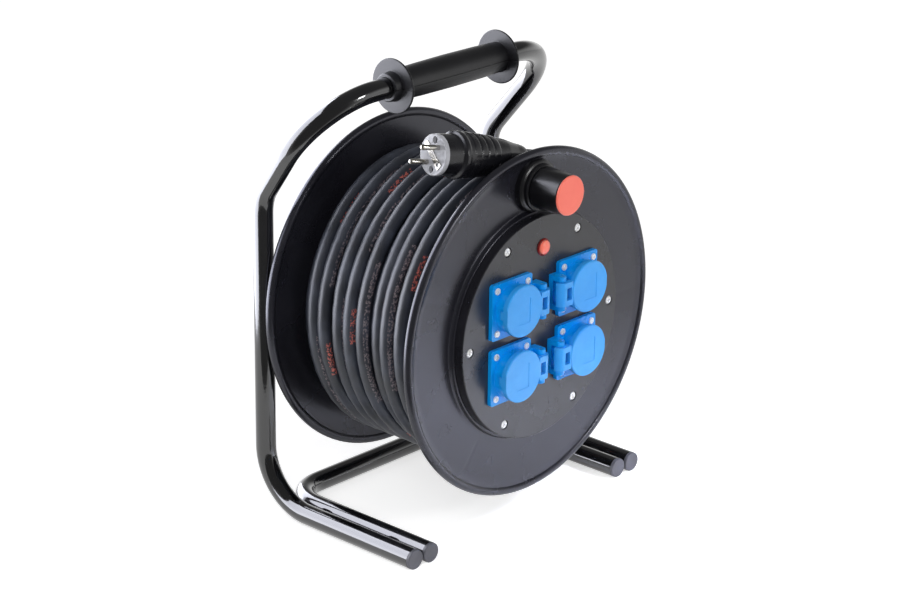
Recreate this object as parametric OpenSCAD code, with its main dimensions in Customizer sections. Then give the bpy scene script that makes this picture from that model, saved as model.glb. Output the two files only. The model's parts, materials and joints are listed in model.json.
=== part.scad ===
// Extension cable reel: a drum with four lidded sockets, turning on one axle in a bent tube frame.
// Millimetres. +Z is up, the socket panel faces -Y and the handle bar runs along X.
// The origin is the bottom centre of the reel without its cable.

/* [Tube frame] */
// Outside diameter of the frame's tubes
tube_d = 18; // [16:0.5:20]
// Wall of the frame's tubes
tube_wall = 1.5; // [1:0.1:2.5]
// Distance from the middle to the centre of each post
post_x = 143.5; // [138:0.5:150]
// Clear gap between a foot of the main tube and one of the base tube
foot_gap = 1.4; // [1:0.1:4]
// How far the feet stop behind the front flange's rim
foot_setback = 0.6; // [0:0.2:20]
// How far the base tube's rear run lies in front of the posts
base_setback = 8; // [0:0.5:16]
// Clearance under the flanges
floor_gap = 29; // [24:1:45]
// Height of the posts' knees above the axle
knee_rise = 104; // [95:1:115]
// Rise of the handle bar above the knees
bow_rise = 98.5; // [90:0.5:115]
// How far the handle bar stands in front of the posts
bow_reach = 77; // [65:1:90]
// Half width of the bow at its two corners
bow_x = 156; // [148:1:165]
// Bend radius between a foot and its post
foot_bend_r = 52; // [40:1:58]
// Bend radius of the knees
knee_bend_r = 38; // [30:1:45]
// Bend radius of the bow's corners
bow_bend_r = 62; // [50:1:66]
// Bend radius of the base tube
base_bend_r = 36; // [30:1:50]
// Length of each weld bridge between the feet
bridge_l = 12; // [8:1:20]
// Distance of the front weld bridges from the ends of the feet
bridge_front = 37; // [20:1:50]
// Distance of the rear weld bridges from the ends of the feet
bridge_rear = 118; // [80:1:124]
// Outside diameter of the cross tube that carries the axle
cross_d = 16; // [14:0.5:16]
// Thickness of a foot cap's head
cap_t = 3; // [2:0.5:5]

/* [Grip] */
// Length of the grip between its guard discs
grip_l = 129.6; // [110:0.2:140]
// Diameter of the grip at its middle
grip_d = 29; // [27.5:0.1:36]
// Diameter of the grip at its guard discs
grip_end_d = 27; // [26:0.1:28]
// Diameter of the guard discs
guard_d = 48; // [40:1:50]
// Thickness of the guard discs
guard_t = 2.2; // [1.6:0.1:3]
// Length of the collar outside each guard disc
guard_collar_l = 8; // [5:0.5:10]
// How far the grip sits to the right of the middle
grip_shift = 2; // [0:1:10]

/* [Drum] */
// Diameter of both flanges
flange_d = 310; // [300:1:316]
// Width of the drum, rim to rim
drum_w = 171.5; // [166:0.5:180]
// Running gap between the rear flange's rim and the posts
rear_gap = 2.5; // [2:0.1:5]
// Diameter of the rolled bead round each flange
bead_d = 8; // [7:0.5:9]
// Thickness of the flanges' webs
web_t = 3; // [2.6:0.1:4]
// How far each web is set back from its rim's outer face
web_set = 3; // [2.8:0.1:4]
// How far the barrel that the cable is wound on lies inside the panel's edge
barrel_inset = 2.8; // [2:0.1:5]
// Wall of the barrel
barrel_wall = 3; // [2.5:0.1:4]
// Length of the hub on the rear flange
hub_l = 48; // [40:1:60]
// Outside diameter of the hub
hub_d = 34; // [30:1:40]
// Diameter of the axle
axle_d = 12; // [10:0.5:13]
// Wall of the bush in the hub
bush_wall = 2.5; // [2:0.1:3]
// Thickness of the rear thrust washer
rear_washer_t = 2.4; // [2:0.1:2.8]
// Number of stiffening ribs behind the rear flange
rear_ribs = 12; // [6:1:18]

/* [Panel] */
// Diameter of the round socket panel
panel_d = 199.6; // [198:0.2:201]
// Height of the panel's face in front of the front flange's rim
panel_rise = 9.3; // [8.5:0.1:11]
// Thickness of the panel's plate
panel_t = 3; // [2.8:0.1:4]
// Height of the flange's boss in front of the rim
boss_rise = 1; // [0:0.1:2]
// Width of the ledge that the boss leaves round the panel
boss_ledge = 2.2; // [1.5:0.1:2.6]
// How far the circle of panel screws lies inside the barrel's wall
panel_screw_inset = 4; // [3.6:0.1:5]
// Diameter of the recess round each panel screw
panel_recess_d = 8.6; // [8.2:0.1:9]

/* [Sockets] */
// Distance of each socket's centre from the middle, sideways
socket_x = 42.5; // [42:0.1:44]
// Distance of each socket's centre from the middle, up and down
socket_z = 29.5; // [28:0.1:31]
// Width and height of a socket's square flange
plate_w = 50; // [48:0.5:52]
// Thickness of a socket's flange
plate_t = 3.8; // [3:0.1:4.5]
// Pitch of the four screws in a socket's flange
plate_pitch = 38; // [37.6:0.1:39]
// Diameter of the round well that takes a plug
well_d = 39.2; // [39:0.1:39.6]
// Depth of the well
well_depth = 17.5; // [17:0.1:18]
// Wall of the collar round the well
collar_wall = 2; // [1.8:0.1:2.4]
// Height of the collar's top above the panel
collar_rise = 15.7; // [15:0.1:17]
// Depth of the socket's body behind the panel
socket_depth = 26; // [25:0.5:30]
// Distance between the two pin holes
pin_pitch = 19; // [19:0.1:19]
// Thickness of a lid's top
lid_t = 2; // [1.6:0.1:2.4]
// Depth of a lid's skirt below its top
lid_skirt = 2.8; // [2:0.1:4]
// Distance of a lid's hinge axis from its socket's centre
hinge_x = 29.9; // [29.5:0.1:30.3]
// Height of a lid's hinge axis above the panel
hinge_rise = 10.5; // [10.2:0.1:11]
// Diameter of a lid's hinge pin
hinge_pin_d = 3; // [2.5:0.1:3.4]
// Width of a lid's neck
neck_w = 21.2; // [20:0.2:22]

/* [Cut-out] */
// Distance of the reset button from the panel's edge
button_inset = 28.1; // [27.8:0.1:28.8]
// Diameter of the reset button
button_d = 12.4; // [11:0.1:12.6]
// Travel of the reset button
button_travel = 2.5; // [2:0.1:2.6]

/* [Crank knob] */
// How far the knob sits inside the middle of the room between boss and bead
knob_shift = 0.5; // [0:0.1:1]
// Length of the knob in front of the flange's rim
knob_l = 38.5; // [36:0.5:45]
// Clearance between the knob and the boss, and between the knob and the bead
knob_side_gap = 4.9; // [4:0.1:6]
// How far the collar at the knob's foot would run under the boss and the bead if it weren't trimmed
knob_base_lap = 1; // [0:0.1:1.5]
// Diameter of the knob's steel pin
knob_pin_d = 8; // [7:0.5:10]

/* [Cable] */
// Outside diameter of the rubber cable
cable_d = 12.5; // [10:0.1:12.6]
// Radius of the outer layer of turns, on the cable's centreline
wind_r = 126.5; // [124:0.5:128]
// Turns of the outer layer between its first and last pass
wind_turns = 7; // [6:1:7]
// Depth of the front pass behind the front rim
wind_front = 36; // [34:1:40]
// Depth of the rear pass behind the front rim
wind_rear = 139; // [132:1:142]
// Angle past the top at which the plug's axis would pass closest to the axle
tail_angle = 11.2; // [8:0.1:14]
// Least distance of the plug's axis from the axle
tail_r = 141.3; // [141.2:0.1:144]
// Distance of the plug's face from that closest point, along the drum
plug_reach = 112.5; // [110:0.5:116]
// Depth of the plug's face behind the front rim
plug_z = 42; // [41:0.5:46]
// Angle by which the plug's boot is turned towards the front flange
plug_turn = 9; // [8:0.5:9.5]
// Length of the plug from its face to the end of its boot
plug_l = 99; // [92:0.5:100]
// Diameter of the plug's bead
plug_bead_d = 41.2; // [40:0.2:42]
// Diameter of the plug's face
plug_face_d = 35.4; // [35:0.2:37]

/* [Hidden] */
$fn = 48;
// Running clearance round shafts and pins that turn
run_gap = 0.06;
// Clearance between faces that pass each other
play = 0.3;
// Clearance where one still piece is seated round another
seat = 0.05;
// The straight runs of a tube are this much fatter in radius, so that they close over its bends
seam = 0.02;
seam_lap = 0.5;

tube_r = tube_d / 2;
cross_r = cross_d / 2;
axle_r = axle_d / 2;
flange_r = flange_d / 2;
panel_r = panel_d / 2;
barrel_r = panel_r - barrel_inset;
barrel_ri = barrel_r - barrel_wall;
cable_r = cable_d / 2;

// Places from the back of the posts to the front of the knob, about the middle of the reel
depth = tube_d + rear_gap + drum_w + knob_l;
post_y = depth / 2 - tube_r;
drum_front = knob_l - depth / 2;
foot_front = drum_front + foot_setback;
foot_z = tube_r + seam;
axle_z = flange_r + floor_gap;
knee_z = axle_z + knee_rise;
bar_y = post_y - bow_reach;
bar_z = knee_z + bow_rise;
base_x = post_x - tube_d - foot_gap;

// Depths in the drum's own frame: zero at the front rim, positive towards the knob
web_front = -web_set;
web_back = -web_set - web_t;
rear_web_back = web_set - drum_w;
rear_web_front = rear_web_back + web_t;
post_plane = -drum_w - rear_gap;
cross_plane = post_plane - (tube_r - cross_r);
rear_washer_z = cross_plane + 2 * seat;
hub_rear = rear_washer_z + rear_washer_t + play;
hub_front = hub_rear + hub_l;
hub_bore_r = axle_r + run_gap + bush_wall;
front_washer_t = 2;
front_washer_z = hub_front + play;
nut_z = front_washer_z + front_washer_t;
nut_h = 9;
nut_flat = 1.5 * axle_d;
axle_front = nut_z + nut_h + 3;

// Spigots that centre the barrel, and the screws behind it
spigot_l = 6;
spigot_r = barrel_ri - play;
spigot_wall = 7.5;
rear_spigot_wall = 3;
rear_screw_r = barrel_ri - 3.5;
rear_boss_r = 5;
rear_boss_l = 20;
rear_screw_d = 4;

// Panel
panel_screw_r = barrel_ri - panel_screw_inset;
panel_screw_head_h = 2.1;
panel_screw_grip = 11;
panel_back = panel_rise - panel_t;
skirt_wall = 2.8;
pillar_r = 4.6;
pillar_bore_r = 2;
recess_depth = 2.4;
panel_screw_shank = 3.2;
boss_r = panel_r + boss_ledge;
boss_base_r = boss_r + 1.5;
boss_in_r = spigot_r - spigot_wall - 3;
seal_out_r = panel_r - skirt_wall;
seal_in_r = panel_screw_r + pillar_r + seat;
post_r = 5;
block_size = [44, 22, 14];
block_top = panel_rise - socket_depth - 5.3;

// Sockets, in a frame on the panel's face with the hinge at +X
well_r = well_d / 2;
collar_r = well_r + collar_wall;
collar_flat = collar_r - 0.9;
well_floor = collar_rise - well_depth;
body_r = collar_r - 0.4;
body_hole_r = body_r + play;
lid_under = collar_rise + play;
lid_top = lid_under + lid_t;
lid_in_r = collar_r + play;
lid_wall = 1;
lid_r = lid_in_r + lid_wall;
lid_flat = collar_flat + play + 0.7;
knuckle_r = 4.3;
lid_barrel_r = 4;
housing_w = neck_w + 9.8;
knuckle_gap = 0.4;
nose_r = lid_top - hinge_rise - 0.7;
housing_top = hinge_rise - knuckle_r - play;
plate_corner = 2.5;
socket_screw_d = 3;
sleeve_r = 3.4;
spring_r = 2.9;
spring_l = 5;

// Cut-out
button_z = panel_r - button_inset;
bezel_r = button_d / 2 + 1.6;
bezel_bore_r = button_d / 2 + 0.25;
bezel_neck_r = bezel_bore_r + 0.6;
button_rise = 2.4;
button_foot = -0.2;
stem_r = 2.6;
stem_l = 12;
cutout_r = 8.8;
cutout_l = 26;

// Knob, in the room between the boss and the bead
knob_room = flange_r - bead_d - boss_r;
knob_r = boss_r + knob_room / 2 - knob_shift;
knob_d = knob_room - 2 * knob_side_gap;
knob_base_d = knob_room + 2 * knob_base_lap;
knob_foot = 8;
knob_cap_t = 2;
knob_end = knob_l - knob_cap_t;
pin_head_r = knob_pin_d / 2 + 2.2;
pin_head_t = 2.5;
pin_top = knob_end - 1;
knob_flats = 10;

// Cable: the outer layer is one tube, its angles counted clockwise from the top as seen from the front
wind_pitch = (wind_rear - wind_front) / wind_turns;
tail_drop_over = 50;
left_side = 270;
end_angle = left_side + 360 * wind_turns + 50;
ring_step = 15;
tube_sides = 6;
core_r = wind_r * cos(ring_step / 2) - cable_r * cos(180 / tube_sides) - play;
core_front = web_back - 3;
core_back = rear_web_front + 3;
dive_r = 60;
dive_angle = 65;
inlet_angle = 160;
inlet_gap = 13;
inlet_z = rear_web_front + inlet_gap;
inlet_l = 26;
inlet_w = cable_d + 5.5;
layer_1_r = barrel_r + cable_r + play;

// Leads inside the barrel
lead_w = 5;
lead_z = block_top - block_size.z / 2;
lead_in_r = barrel_ri - cable_r - 2.7;
lead_turn = 42;
lead_in_angle = inlet_angle + lead_turn;
INLET = [layer_1_r * sin(inlet_angle), layer_1_r * cos(inlet_angle), inlet_z];
INLET_DIR = [-cos(inlet_angle), sin(inlet_angle), 0];
LEAD_IN = lead_in_r * [sin(lead_in_angle), cos(lead_in_angle)];
LEAD_PATH = [
    [0, -block_size.y / 2, lead_z],
    [0, LEAD_IN.y, lead_z],
    [LEAD_IN.x, LEAD_IN.y, lead_z],
    [LEAD_IN.x, LEAD_IN.y, inlet_z],
    INLET,
    INLET + INLET_DIR * inlet_l / 2,
];
LEAD_BENDS = [15, 15, 24, 30];

// Plug
plug_face_t = 4;
plug_pin_d = 4.8;
plug_pin_l = 19;
pin_neck_r = plug_pin_d / 2 - 0.3;
pin_turn = 50.5;
plug_neck = 0.2;
plug_rib_r = 1.35;
strap_t = 1;
strap_w = 5.4;
strap_pad = 6.8;
strap_hole_r = 1.8;
strap_r = 0.8 * plug_face_d / 2;
screw_well_r = 3;
well_offset = 0.7 * plug_face_d / 2;

// The plug's outline and its finger ribs, as shares of the plug's length and of the bead's radius
PLUG_TAPER = [
    [0.205, 0.98], [0.215, 1], [0.25, 1], [0.26, 0.965], [0.3, 0.955], [0.48, 0.87],
    [0.58, 0.815], [0.68, 0.755], [0.74, 0.705], [0.81, 0.615], [0.87, 0.545],
    [0.93, 0.49], [0.97, 0.43], [0.99, 0.36],
];
PLUG_RIBS = [[0.34, 0.905], [0.42, 0.865], [0.5, 0.825], [0.58, 0.785]];

// Paths of the two bent tubes
MAIN_PATH = [
    [-post_x, foot_front + cap_t, foot_z],
    [-post_x, post_y, foot_z],
    [-post_x, post_y, knee_z],
    [-bow_x, bar_y, bar_z],
    [bow_x, bar_y, bar_z],
    [post_x, post_y, knee_z],
    [post_x, post_y, foot_z],
    [post_x, foot_front + cap_t, foot_z],
];
MAIN_BENDS = [foot_bend_r, knee_bend_r, bow_bend_r, bow_bend_r, knee_bend_r, foot_bend_r];
BASE_PATH = [
    [-base_x, foot_front + cap_t, foot_z],
    [-base_x, post_y - base_setback, foot_z],
    [base_x, post_y - base_setback, foot_z],
    [base_x, foot_front + cap_t, foot_z],
];
BASE_BENDS = [base_bend_r, base_bend_r];

// Sockets: name, side and height, as signs
SOCKETS = [[-1, 1], [1, 1], [-1, -1], [1, -1]];

// ---- helpers ----

function unit(v) = v / norm(v);

// Length of straight tube that a bend of radius r takes on each side of corner p
function bend_cut(p, a, b, r) =
    let (turn = acos(unit(a - p) * unit(b - p)))
    r / tan(turn / 2);

// Smooth step from 0 to 1
function ease(t) = let (u = min(1, max(0, t))) u * u * (3 - 2 * u);

// Puts local z along b - a, with its origin at a
module along(a, b) {
    w = unit(b - a);
    x = unit(abs(w.z) < 0.9 ? cross([0, 0, 1], w) : cross([1, 0, 0], w));
    y = cross(w, x);
    multmatrix([[x.x, y.x, w.x, a.x], [x.y, y.y, w.y, a.y], [x.z, y.z, w.z, a.z], [0, 0, 0, 1]])
        children();
}

// One bend of a tube of diameter d at corner p, between its neighbours a and b
module tube_bend(p, a, b, r, d) {
    u = unit(a - p);
    v = unit(b - p);
    turn = acos(u * v);
    centre = p + unit(u + v) * r / sin(turn / 2);
    x = unit(p + u * r / tan(turn / 2) - centre);
    z = -unit(cross(u, v));
    y = cross(z, x);
    multmatrix([
        [x.x, y.x, z.x, centre.x], [x.y, y.y, z.y, centre.y],
        [x.z, y.z, z.z, centre.z], [0, 0, 0, 1],
    ])
        rotate_extrude(angle = 180 - turn)
            translate([r, 0])
                circle(d = d);
}

// Solid rod of diameter d bent along a path, run past both ends by extra
module bent_rod(path, bends, d, extra = 0) {
    last = len(path) - 1;
    for (i = [1 : last - 1])
        tube_bend(path[i], path[i - 1], path[i + 1], bends[i - 1], d);
    for (i = [0 : last - 1]) {
        w = unit(path[i + 1] - path[i]);
        lead = i == 0 ? -extra : bend_cut(path[i], path[i - 1], path[i + 1], bends[i - 1]) - seam_lap;
        trail = i == last - 1 ? -extra : bend_cut(path[i + 1], path[i], path[i + 2], bends[i]) - seam_lap;
        a = path[i] + w * lead;
        b = path[i + 1] - w * trail;
        along(a, b) cylinder(h = norm(b - a), d = d + 2 * seam);
    }
}

module bent_tube(path, bends) {
    difference() {
        bent_rod(path, bends, tube_d);
        bent_rod(path, bends, tube_d - 2 * tube_wall, 1);
    }
}

// The drum's own frame: origin on the axle at the front rim, z towards the knob, y up
module on_drum() {
    translate([0, drum_front, axle_z]) rotate([90, 0, 0]) children();
}

// Ring between two radii from depth z1 to z2
module ring(r_in, r_out, z1, z2) {
    translate([0, 0, z1]) difference() {
        cylinder(h = z2 - z1, r = r_out);
        translate([0, 0, -1]) cylinder(h = z2 - z1 + 2, r = r_in);
    }
}

module rod(r, z1, z2) {
    translate([0, 0, z1]) cylinder(h = z2 - z1, r = r);
}

// Copies round the drum's axis at a radius
module around(count, r, start = 0) {
    for (i = [0 : count - 1])
        rotate([0, 0, start + i * 360 / count]) translate([r, 0, 0]) children();
}

// Round screw with a cross recess, its head's underside at z = 0
module cross_screw(head_r, head_h, shank_r, shank_l) {
    difference() {
        union() {
            cylinder(h = head_h * 0.6, r = head_r);
            translate([0, 0, head_h * 0.6]) cylinder(h = head_h * 0.4, r1 = head_r, r2 = head_r * 0.8);
        }
        for (turn = [0, 90])
            rotate([0, 0, turn])
                translate([-head_r * 0.6, -head_r * 0.13, head_h * 0.45])
                    cube([head_r * 1.2, head_r * 0.26, head_h]);
    }
    translate([0, 0, -shank_l]) cylinder(h = shank_l, r = shank_r);
}

// A socket's own frame on the panel's face, mirrored so that each hinge is next to the middle
module at_socket(i) {
    on_drum()
        translate([SOCKETS[i][0] * socket_x, SOCKETS[i][1] * socket_z, panel_rise])
            mirror([SOCKETS[i][0] > 0 ? 1 : 0, 0, 0])
                children();
}

module at_plate_screws() {
    for (x = [-1, 1], y = [-1, 1])
        translate([x * plate_pitch / 2, y * plate_pitch / 2, 0]) children();
}

// ---- frame ----

module main_tube() {
    color("#141416") bent_tube(MAIN_PATH, MAIN_BENDS);
}

module base_tube() {
    color("#141416") bent_tube(BASE_PATH, BASE_BENDS);
}

// Short welds that fill the groove between the two tubes of each foot
module weld_bridges() {
    groove = tube_r + seam + seat;
    middle = (post_x + base_x) / 2;
    color("#1b1b1d")
        for (side = [-1, 1], y = [bridge_front, bridge_rear])
            translate([side * middle, foot_front + y, foot_z])
                difference() {
                    translate([-tube_r * 0.55, -bridge_l / 2, -tube_r * 0.4])
                        cube([tube_r * 1.1, bridge_l, tube_r]);
                    for (dx = [-1, 1])
                        translate([dx * (post_x - base_x) / 2, 0, 0])
                            rotate([90, 0, 0])
                                cylinder(h = 2 * bridge_l, r = groove, center = true);
                }
}

// Plastic plug with a bevelled head, pushed into the end of a tube
module foot_cap(x) {
    neck_r = tube_r - tube_wall - 2 * seat;
    color("#5c5c62")
        translate([x, foot_front, foot_z])
            rotate([-90, 0, 0])
                rotate_extrude()
                    polygon([
                        [0, 0], [tube_r - 1, 0], [tube_r - 0.2, 0.8], [tube_r - 0.2, cap_t],
                        [neck_r, cap_t], [neck_r, cap_t + 11], [neck_r - 1, cap_t + 12], [0, cap_t + 12],
                    ]);
}

// Tube welded between the posts behind the drum, pierced by the axle
module cross_tube() {
    cope = tube_r + seam + seat;
    color("#141416")
        difference() {
            translate([0, post_y, axle_z])
                rotate([0, 90, 0])
                    cylinder(h = 2 * post_x, r = cross_r, center = true);
            translate([0, post_y, axle_z])
                rotate([0, 90, 0])
                    cylinder(h = 2 * post_x + 2, r = cross_r - tube_wall, center = true);
            for (side = [-1, 1])
                translate([side * post_x, post_y, axle_z])
                    cylinder(h = 4 * cross_r, r = cope, center = true);
            translate([0, post_y, axle_z])
                rotate([90, 0, 0])
                    cylinder(h = 4 * cross_r, r = axle_r + seat, center = true);
        }
}

module axle() {
    color("#b9bcc0")
        on_drum()
            rod(axle_r, cross_plane - cross_d - 0.6, axle_front);
}

module rear_washer() {
    color("#c3c6ca")
        on_drum()
            ring(axle_r + seat, hub_d / 2 - 3, rear_washer_z, rear_washer_z + rear_washer_t);
}

module front_washer() {
    color("#c3c6ca")
        on_drum()
            ring(axle_r + seat, hub_d / 2 - 3, front_washer_z, front_washer_z + front_washer_t);
}

module axle_nut() {
    color("#c3c6ca")
        on_drum()
            translate([0, 0, nut_z])
                difference() {
                    cylinder(h = nut_h, r = nut_flat / 2 / cos(30), $fn = 6);
                    translate([0, 0, -1]) cylinder(h = nut_h + 2, r = axle_r + seat);
                }
}

// Section of the grip on one side of its axis: a barrel-shaped shell, guard discs and outer collars
module grip_section() {
    bore = tube_r + seam + seat;
    swell = (grip_d - grip_end_d) / 2;
    arc_r = (pow(grip_l / 2, 2) + pow(swell, 2)) / (2 * swell);
    half = grip_l / 2 + guard_t;
    intersection() {
        translate([grip_d / 2 - arc_r, 0]) circle(r = arc_r, $fn = 360);
        translate([bore, -half]) square([grip_d, 2 * half]);
    }
    for (end = [-1, 1])
        mirror([0, end < 0 ? 1 : 0]) {
            translate([bore, grip_l / 2]) square([guard_d / 2 - bore - guard_t / 2, guard_t]);
            translate([guard_d / 2 - guard_t / 2, grip_l / 2 + guard_t / 2]) circle(d = guard_t);
            polygon([
                [bore, half - 0.5], [bore + 4, half - 0.5], [bore + 3.2, half + guard_collar_l - 1],
                [bore + 2.4, half + guard_collar_l], [bore, half + guard_collar_l],
            ]);
        }
}

module grip_half(turn) {
    color("#1a1a1c")
        translate([grip_shift, bar_y, bar_z])
            rotate([0, 90, 0])
                rotate([0, 0, turn])
                    rotate_extrude(angle = 180)
                        grip_section();
}

// ---- drum ----

// Section of the rolled bead round a flange
module flange_bead(z) {
    translate([flange_r - bead_d / 2, z]) circle(d = bead_d);
}

module rear_flange() {
    lug_r = flange_r - bead_d;
    color("#1c1c1f")
        on_drum() {
            difference() {
                union() {
                    rotate_extrude() {
                        translate([hub_bore_r, rear_web_back])
                            square([flange_r - bead_d / 2 - hub_bore_r, web_t]);
                        flange_bead(bead_d / 2 - drum_w);
                        translate([hub_bore_r, hub_rear]) square([hub_d / 2 - hub_bore_r, hub_l]);
                        translate([spigot_r - rear_spigot_wall, rear_web_front - 0.5])
                            square([rear_spigot_wall, spigot_l + 0.5]);
                    }
                    // radial and round ribs on the face towards the posts
                    for (i = [0 : rear_ribs - 1])
                        rotate([0, 0, i * 360 / rear_ribs])
                            translate([hub_d / 2 - 1, -1, rear_web_back - web_set + 0.8])
                                cube([lug_r - hub_d / 2, 2, web_set]);
                    ring(barrel_r - 1, barrel_r + 1, rear_web_back - web_set + 0.8, rear_web_back + 0.5);
                    // gussets between the hub and the web
                    for (i = [0 : 5])
                        rotate([0, 0, 30 + i * 60])
                            translate([0, 1.25, 0])
                                rotate([90, 0, 0])
                                    linear_extrude(2.5)
                                        polygon([
                                            [hub_d / 2 - 1, rear_web_front - 0.5],
                                            [spigot_r - rear_spigot_wall - 6, rear_web_front - 0.5],
                                            [hub_d / 2 + 2, hub_front - 8], [hub_d / 2 - 1, hub_front - 8],
                                        ]);
                }
                around(6, rear_screw_r) {
                    rod(rear_screw_d / 2 + 0.1, rear_web_back - web_set - 1, rear_web_front + 1);
                    rod(rear_boss_r + play, rear_web_front, rear_web_front + spigot_l + 1);
                    rod(rear_boss_r, rear_web_back - web_set - 1, rear_web_back);
                }
            }
        }
}

module hub_bush() {
    color("#c9a86a")
        on_drum()
            ring(axle_r + run_gap, hub_bore_r, hub_rear + seat, hub_front - seat);
}

module barrel() {
    color("#202023")
        on_drum()
            difference() {
                union() {
                    ring(barrel_ri, barrel_r, rear_web_front, web_back);
                    intersection() {
                        around(6, rear_screw_r)
                            rod(rear_boss_r, rear_web_front, rear_web_front + rear_boss_l);
                        rod(barrel_r - barrel_wall / 2, rear_web_front, rear_web_front + rear_boss_l);
                    }
                }
                around(6, rear_screw_r)
                    rod(rear_screw_d / 2, rear_web_front - 1, rear_web_front + rear_boss_l - 3);
                inlet_passage();
            }
}

module rear_screws() {
    color("#c3c6ca")
        on_drum()
            around(6, rear_screw_r)
                translate([0, 0, rear_web_back])
                    mirror([0, 0, 1])
                        cross_screw(4, 2.2, rear_screw_d / 2, web_t + rear_boss_l - 4);
}

module front_flange() {
    color("#1c1c1f")
        on_drum()
            difference() {
                rotate_extrude() {
                    translate([boss_in_r, web_back]) square([flange_r - bead_d / 2 - boss_in_r, web_t]);
                    flange_bead(-bead_d / 2);
                    polygon([
                        [boss_in_r, web_back], [boss_base_r, web_back], [boss_base_r, web_front],
                        [boss_r, boss_rise - 0.8], [boss_r - 0.8, boss_rise], [boss_in_r, boss_rise],
                    ]);
                    translate([spigot_r - spigot_wall, web_back - spigot_l])
                        square([spigot_wall, spigot_l + 0.5]);
                }
                around(6, panel_screw_r) rod(panel_screw_shank / 2, web_back - spigot_l + 1, boss_rise + 1);
                translate([0, knob_r, 0]) rod(knob_pin_d / 2 + seat, web_back - 1, web_front + 1);
            }
}

module panel_seal() {
    color("#0c0c0c")
        on_drum()
            ring(seal_in_r, seal_out_r, boss_rise, panel_back);
}

// Round cover plate with a skirt, screw pillars, a centre post and the holes of its fittings
module panel_cover() {
    color("#232326")
        on_drum()
            difference() {
                union() {
                    rotate_extrude()
                        polygon([
                            [0, panel_back], [panel_r - skirt_wall, panel_back],
                            [panel_r - skirt_wall, boss_rise], [panel_r, boss_rise],
                            [panel_r, panel_rise - 0.7], [panel_r - 0.7, panel_rise],
                            [0, panel_rise],
                        ]);
                    around(6, panel_screw_r) rod(pillar_r, boss_rise, panel_back + 0.5);
                    rod(post_r, block_top, panel_back + 0.5);
                }
                around(6, panel_screw_r) {
                    rod(pillar_bore_r, boss_rise - 1, panel_rise + 1);
                    rod(panel_recess_d / 2, panel_rise - recess_depth, panel_rise + 1);
                }
                for (s = SOCKETS)
                    translate([s[0] * socket_x, s[1] * socket_z, 0]) {
                        rod(body_hole_r, panel_back - 1, panel_rise + 1);
                        at_plate_screws() rod(socket_screw_d / 2, panel_back - 1, panel_rise + 1);
                    }
                translate([0, button_z, 0]) rod(bezel_neck_r + seat, panel_back - 1, panel_rise + 1);
            }
}

module panel_screws() {
    color("#d0d2d4")
        on_drum()
            around(6, panel_screw_r)
                translate([0, 0, panel_rise - recess_depth])
                    cross_screw(
                        panel_recess_d / 2 - 0.4, panel_screw_head_h,
                        panel_screw_shank / 2, recess_depth + panel_t + panel_screw_grip
                    );
}

// ---- sockets ----

module plate_outline() {
    inner = plate_w - 2 * plate_corner;
    translate([-plate_w / 2, -inner / 2, 0]) cube([plate_w, inner, plate_t]);
    translate([-inner / 2, -plate_w / 2, 0]) cube([inner, plate_w, plate_t]);
    for (x = [-1, 1], y = [-1, 1])
        translate([x * inner / 2, y * inner / 2, 0]) cylinder(h = plate_t, r = plate_corner);
}

// Flange, collar, body and hinge housing of one socket, moulded in one
module socket_body() {
    cheek_w = (housing_w - neck_w) / 2 - knuckle_gap;
    color("#0078e0")
        difference() {
            union() {
                plate_outline();
                rod(body_r, -socket_depth, plate_t);
                intersection() {
                    rod(collar_r, plate_t - 0.5, collar_rise);
                    translate([-collar_flat, -collar_r, 0])
                        cube([collar_flat + collar_r, 2 * collar_r, collar_rise]);
                }
                translate([collar_r - 3, -housing_w / 2, 0])
                    cube([hinge_x + knuckle_r - collar_r + 3, housing_w, housing_top]);
                for (end = [-1, 1])
                    translate([hinge_x, end * (housing_w - cheek_w) / 2, 0]) {
                        translate([-knuckle_r, -cheek_w / 2, 0]) cube([2 * knuckle_r, cheek_w, hinge_rise]);
                        translate([0, cheek_w / 2, hinge_rise])
                            rotate([90, 0, 0])
                                cylinder(h = cheek_w, r = knuckle_r);
                    }
            }
            rod(well_r, well_floor, collar_rise + 1);
            for (side = [-1, 1])
                translate([side * pin_pitch / 2, 0, 0]) {
                    rod(2.7, well_floor - 6, well_floor + 1);
                    rod(sleeve_r, -socket_depth - 1, well_floor - 5);
                }
            at_plate_screws() rod(socket_screw_d / 2, -1, plate_t + 1);
            translate([hinge_x, housing_w / 2 + 1, hinge_rise])
                rotate([90, 0, 0])
                    cylinder(h = housing_w + 2, d = hinge_pin_d);
            // trough under the lid's barrel, in which its nose turns
            translate([hinge_x, neck_w / 2 + knuckle_gap, hinge_rise])
                rotate([90, 0, 0])
                    cylinder(h = neck_w + 2 * knuckle_gap, r = nose_r + play);
            // shallow latch pocket in the flat of the collar
            translate([-collar_flat - 1, -4, plate_t + 4]) cube([1.5, 8, 3]);
        }
}

// Two pin sleeves behind the well's floor and two earth clips on its wall
module socket_contacts() {
    color("#c9a24a") {
        for (side = [-1, 1])
            translate([side * pin_pitch / 2, 0, 0])
                ring(2.45, sleeve_r, -socket_depth + 1, well_floor - 5);
        for (side = [-1, 1])
            mirror([0, side < 0 ? 1 : 0, 0])
                translate([2.5, 0, well_floor])
                    rotate([0, -90, 0])
                        linear_extrude(5)
                            polygon([
                                [0, well_r - 1.2], [7, well_r - 2.2], [11, well_r - 1.2],
                                [11, well_r - 0.4], [7, well_r - 1.4], [0, well_r - 0.4],
                            ]);
    }
}

module socket_screws() {
    color("#d0d2d4")
        for (i = [0 : 3])
            at_socket(i)
                at_plate_screws()
                    translate([0, 0, plate_t])
                        cross_screw(3, 1.4, socket_screw_d / 2, plate_t + panel_t + 2);
}

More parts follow.
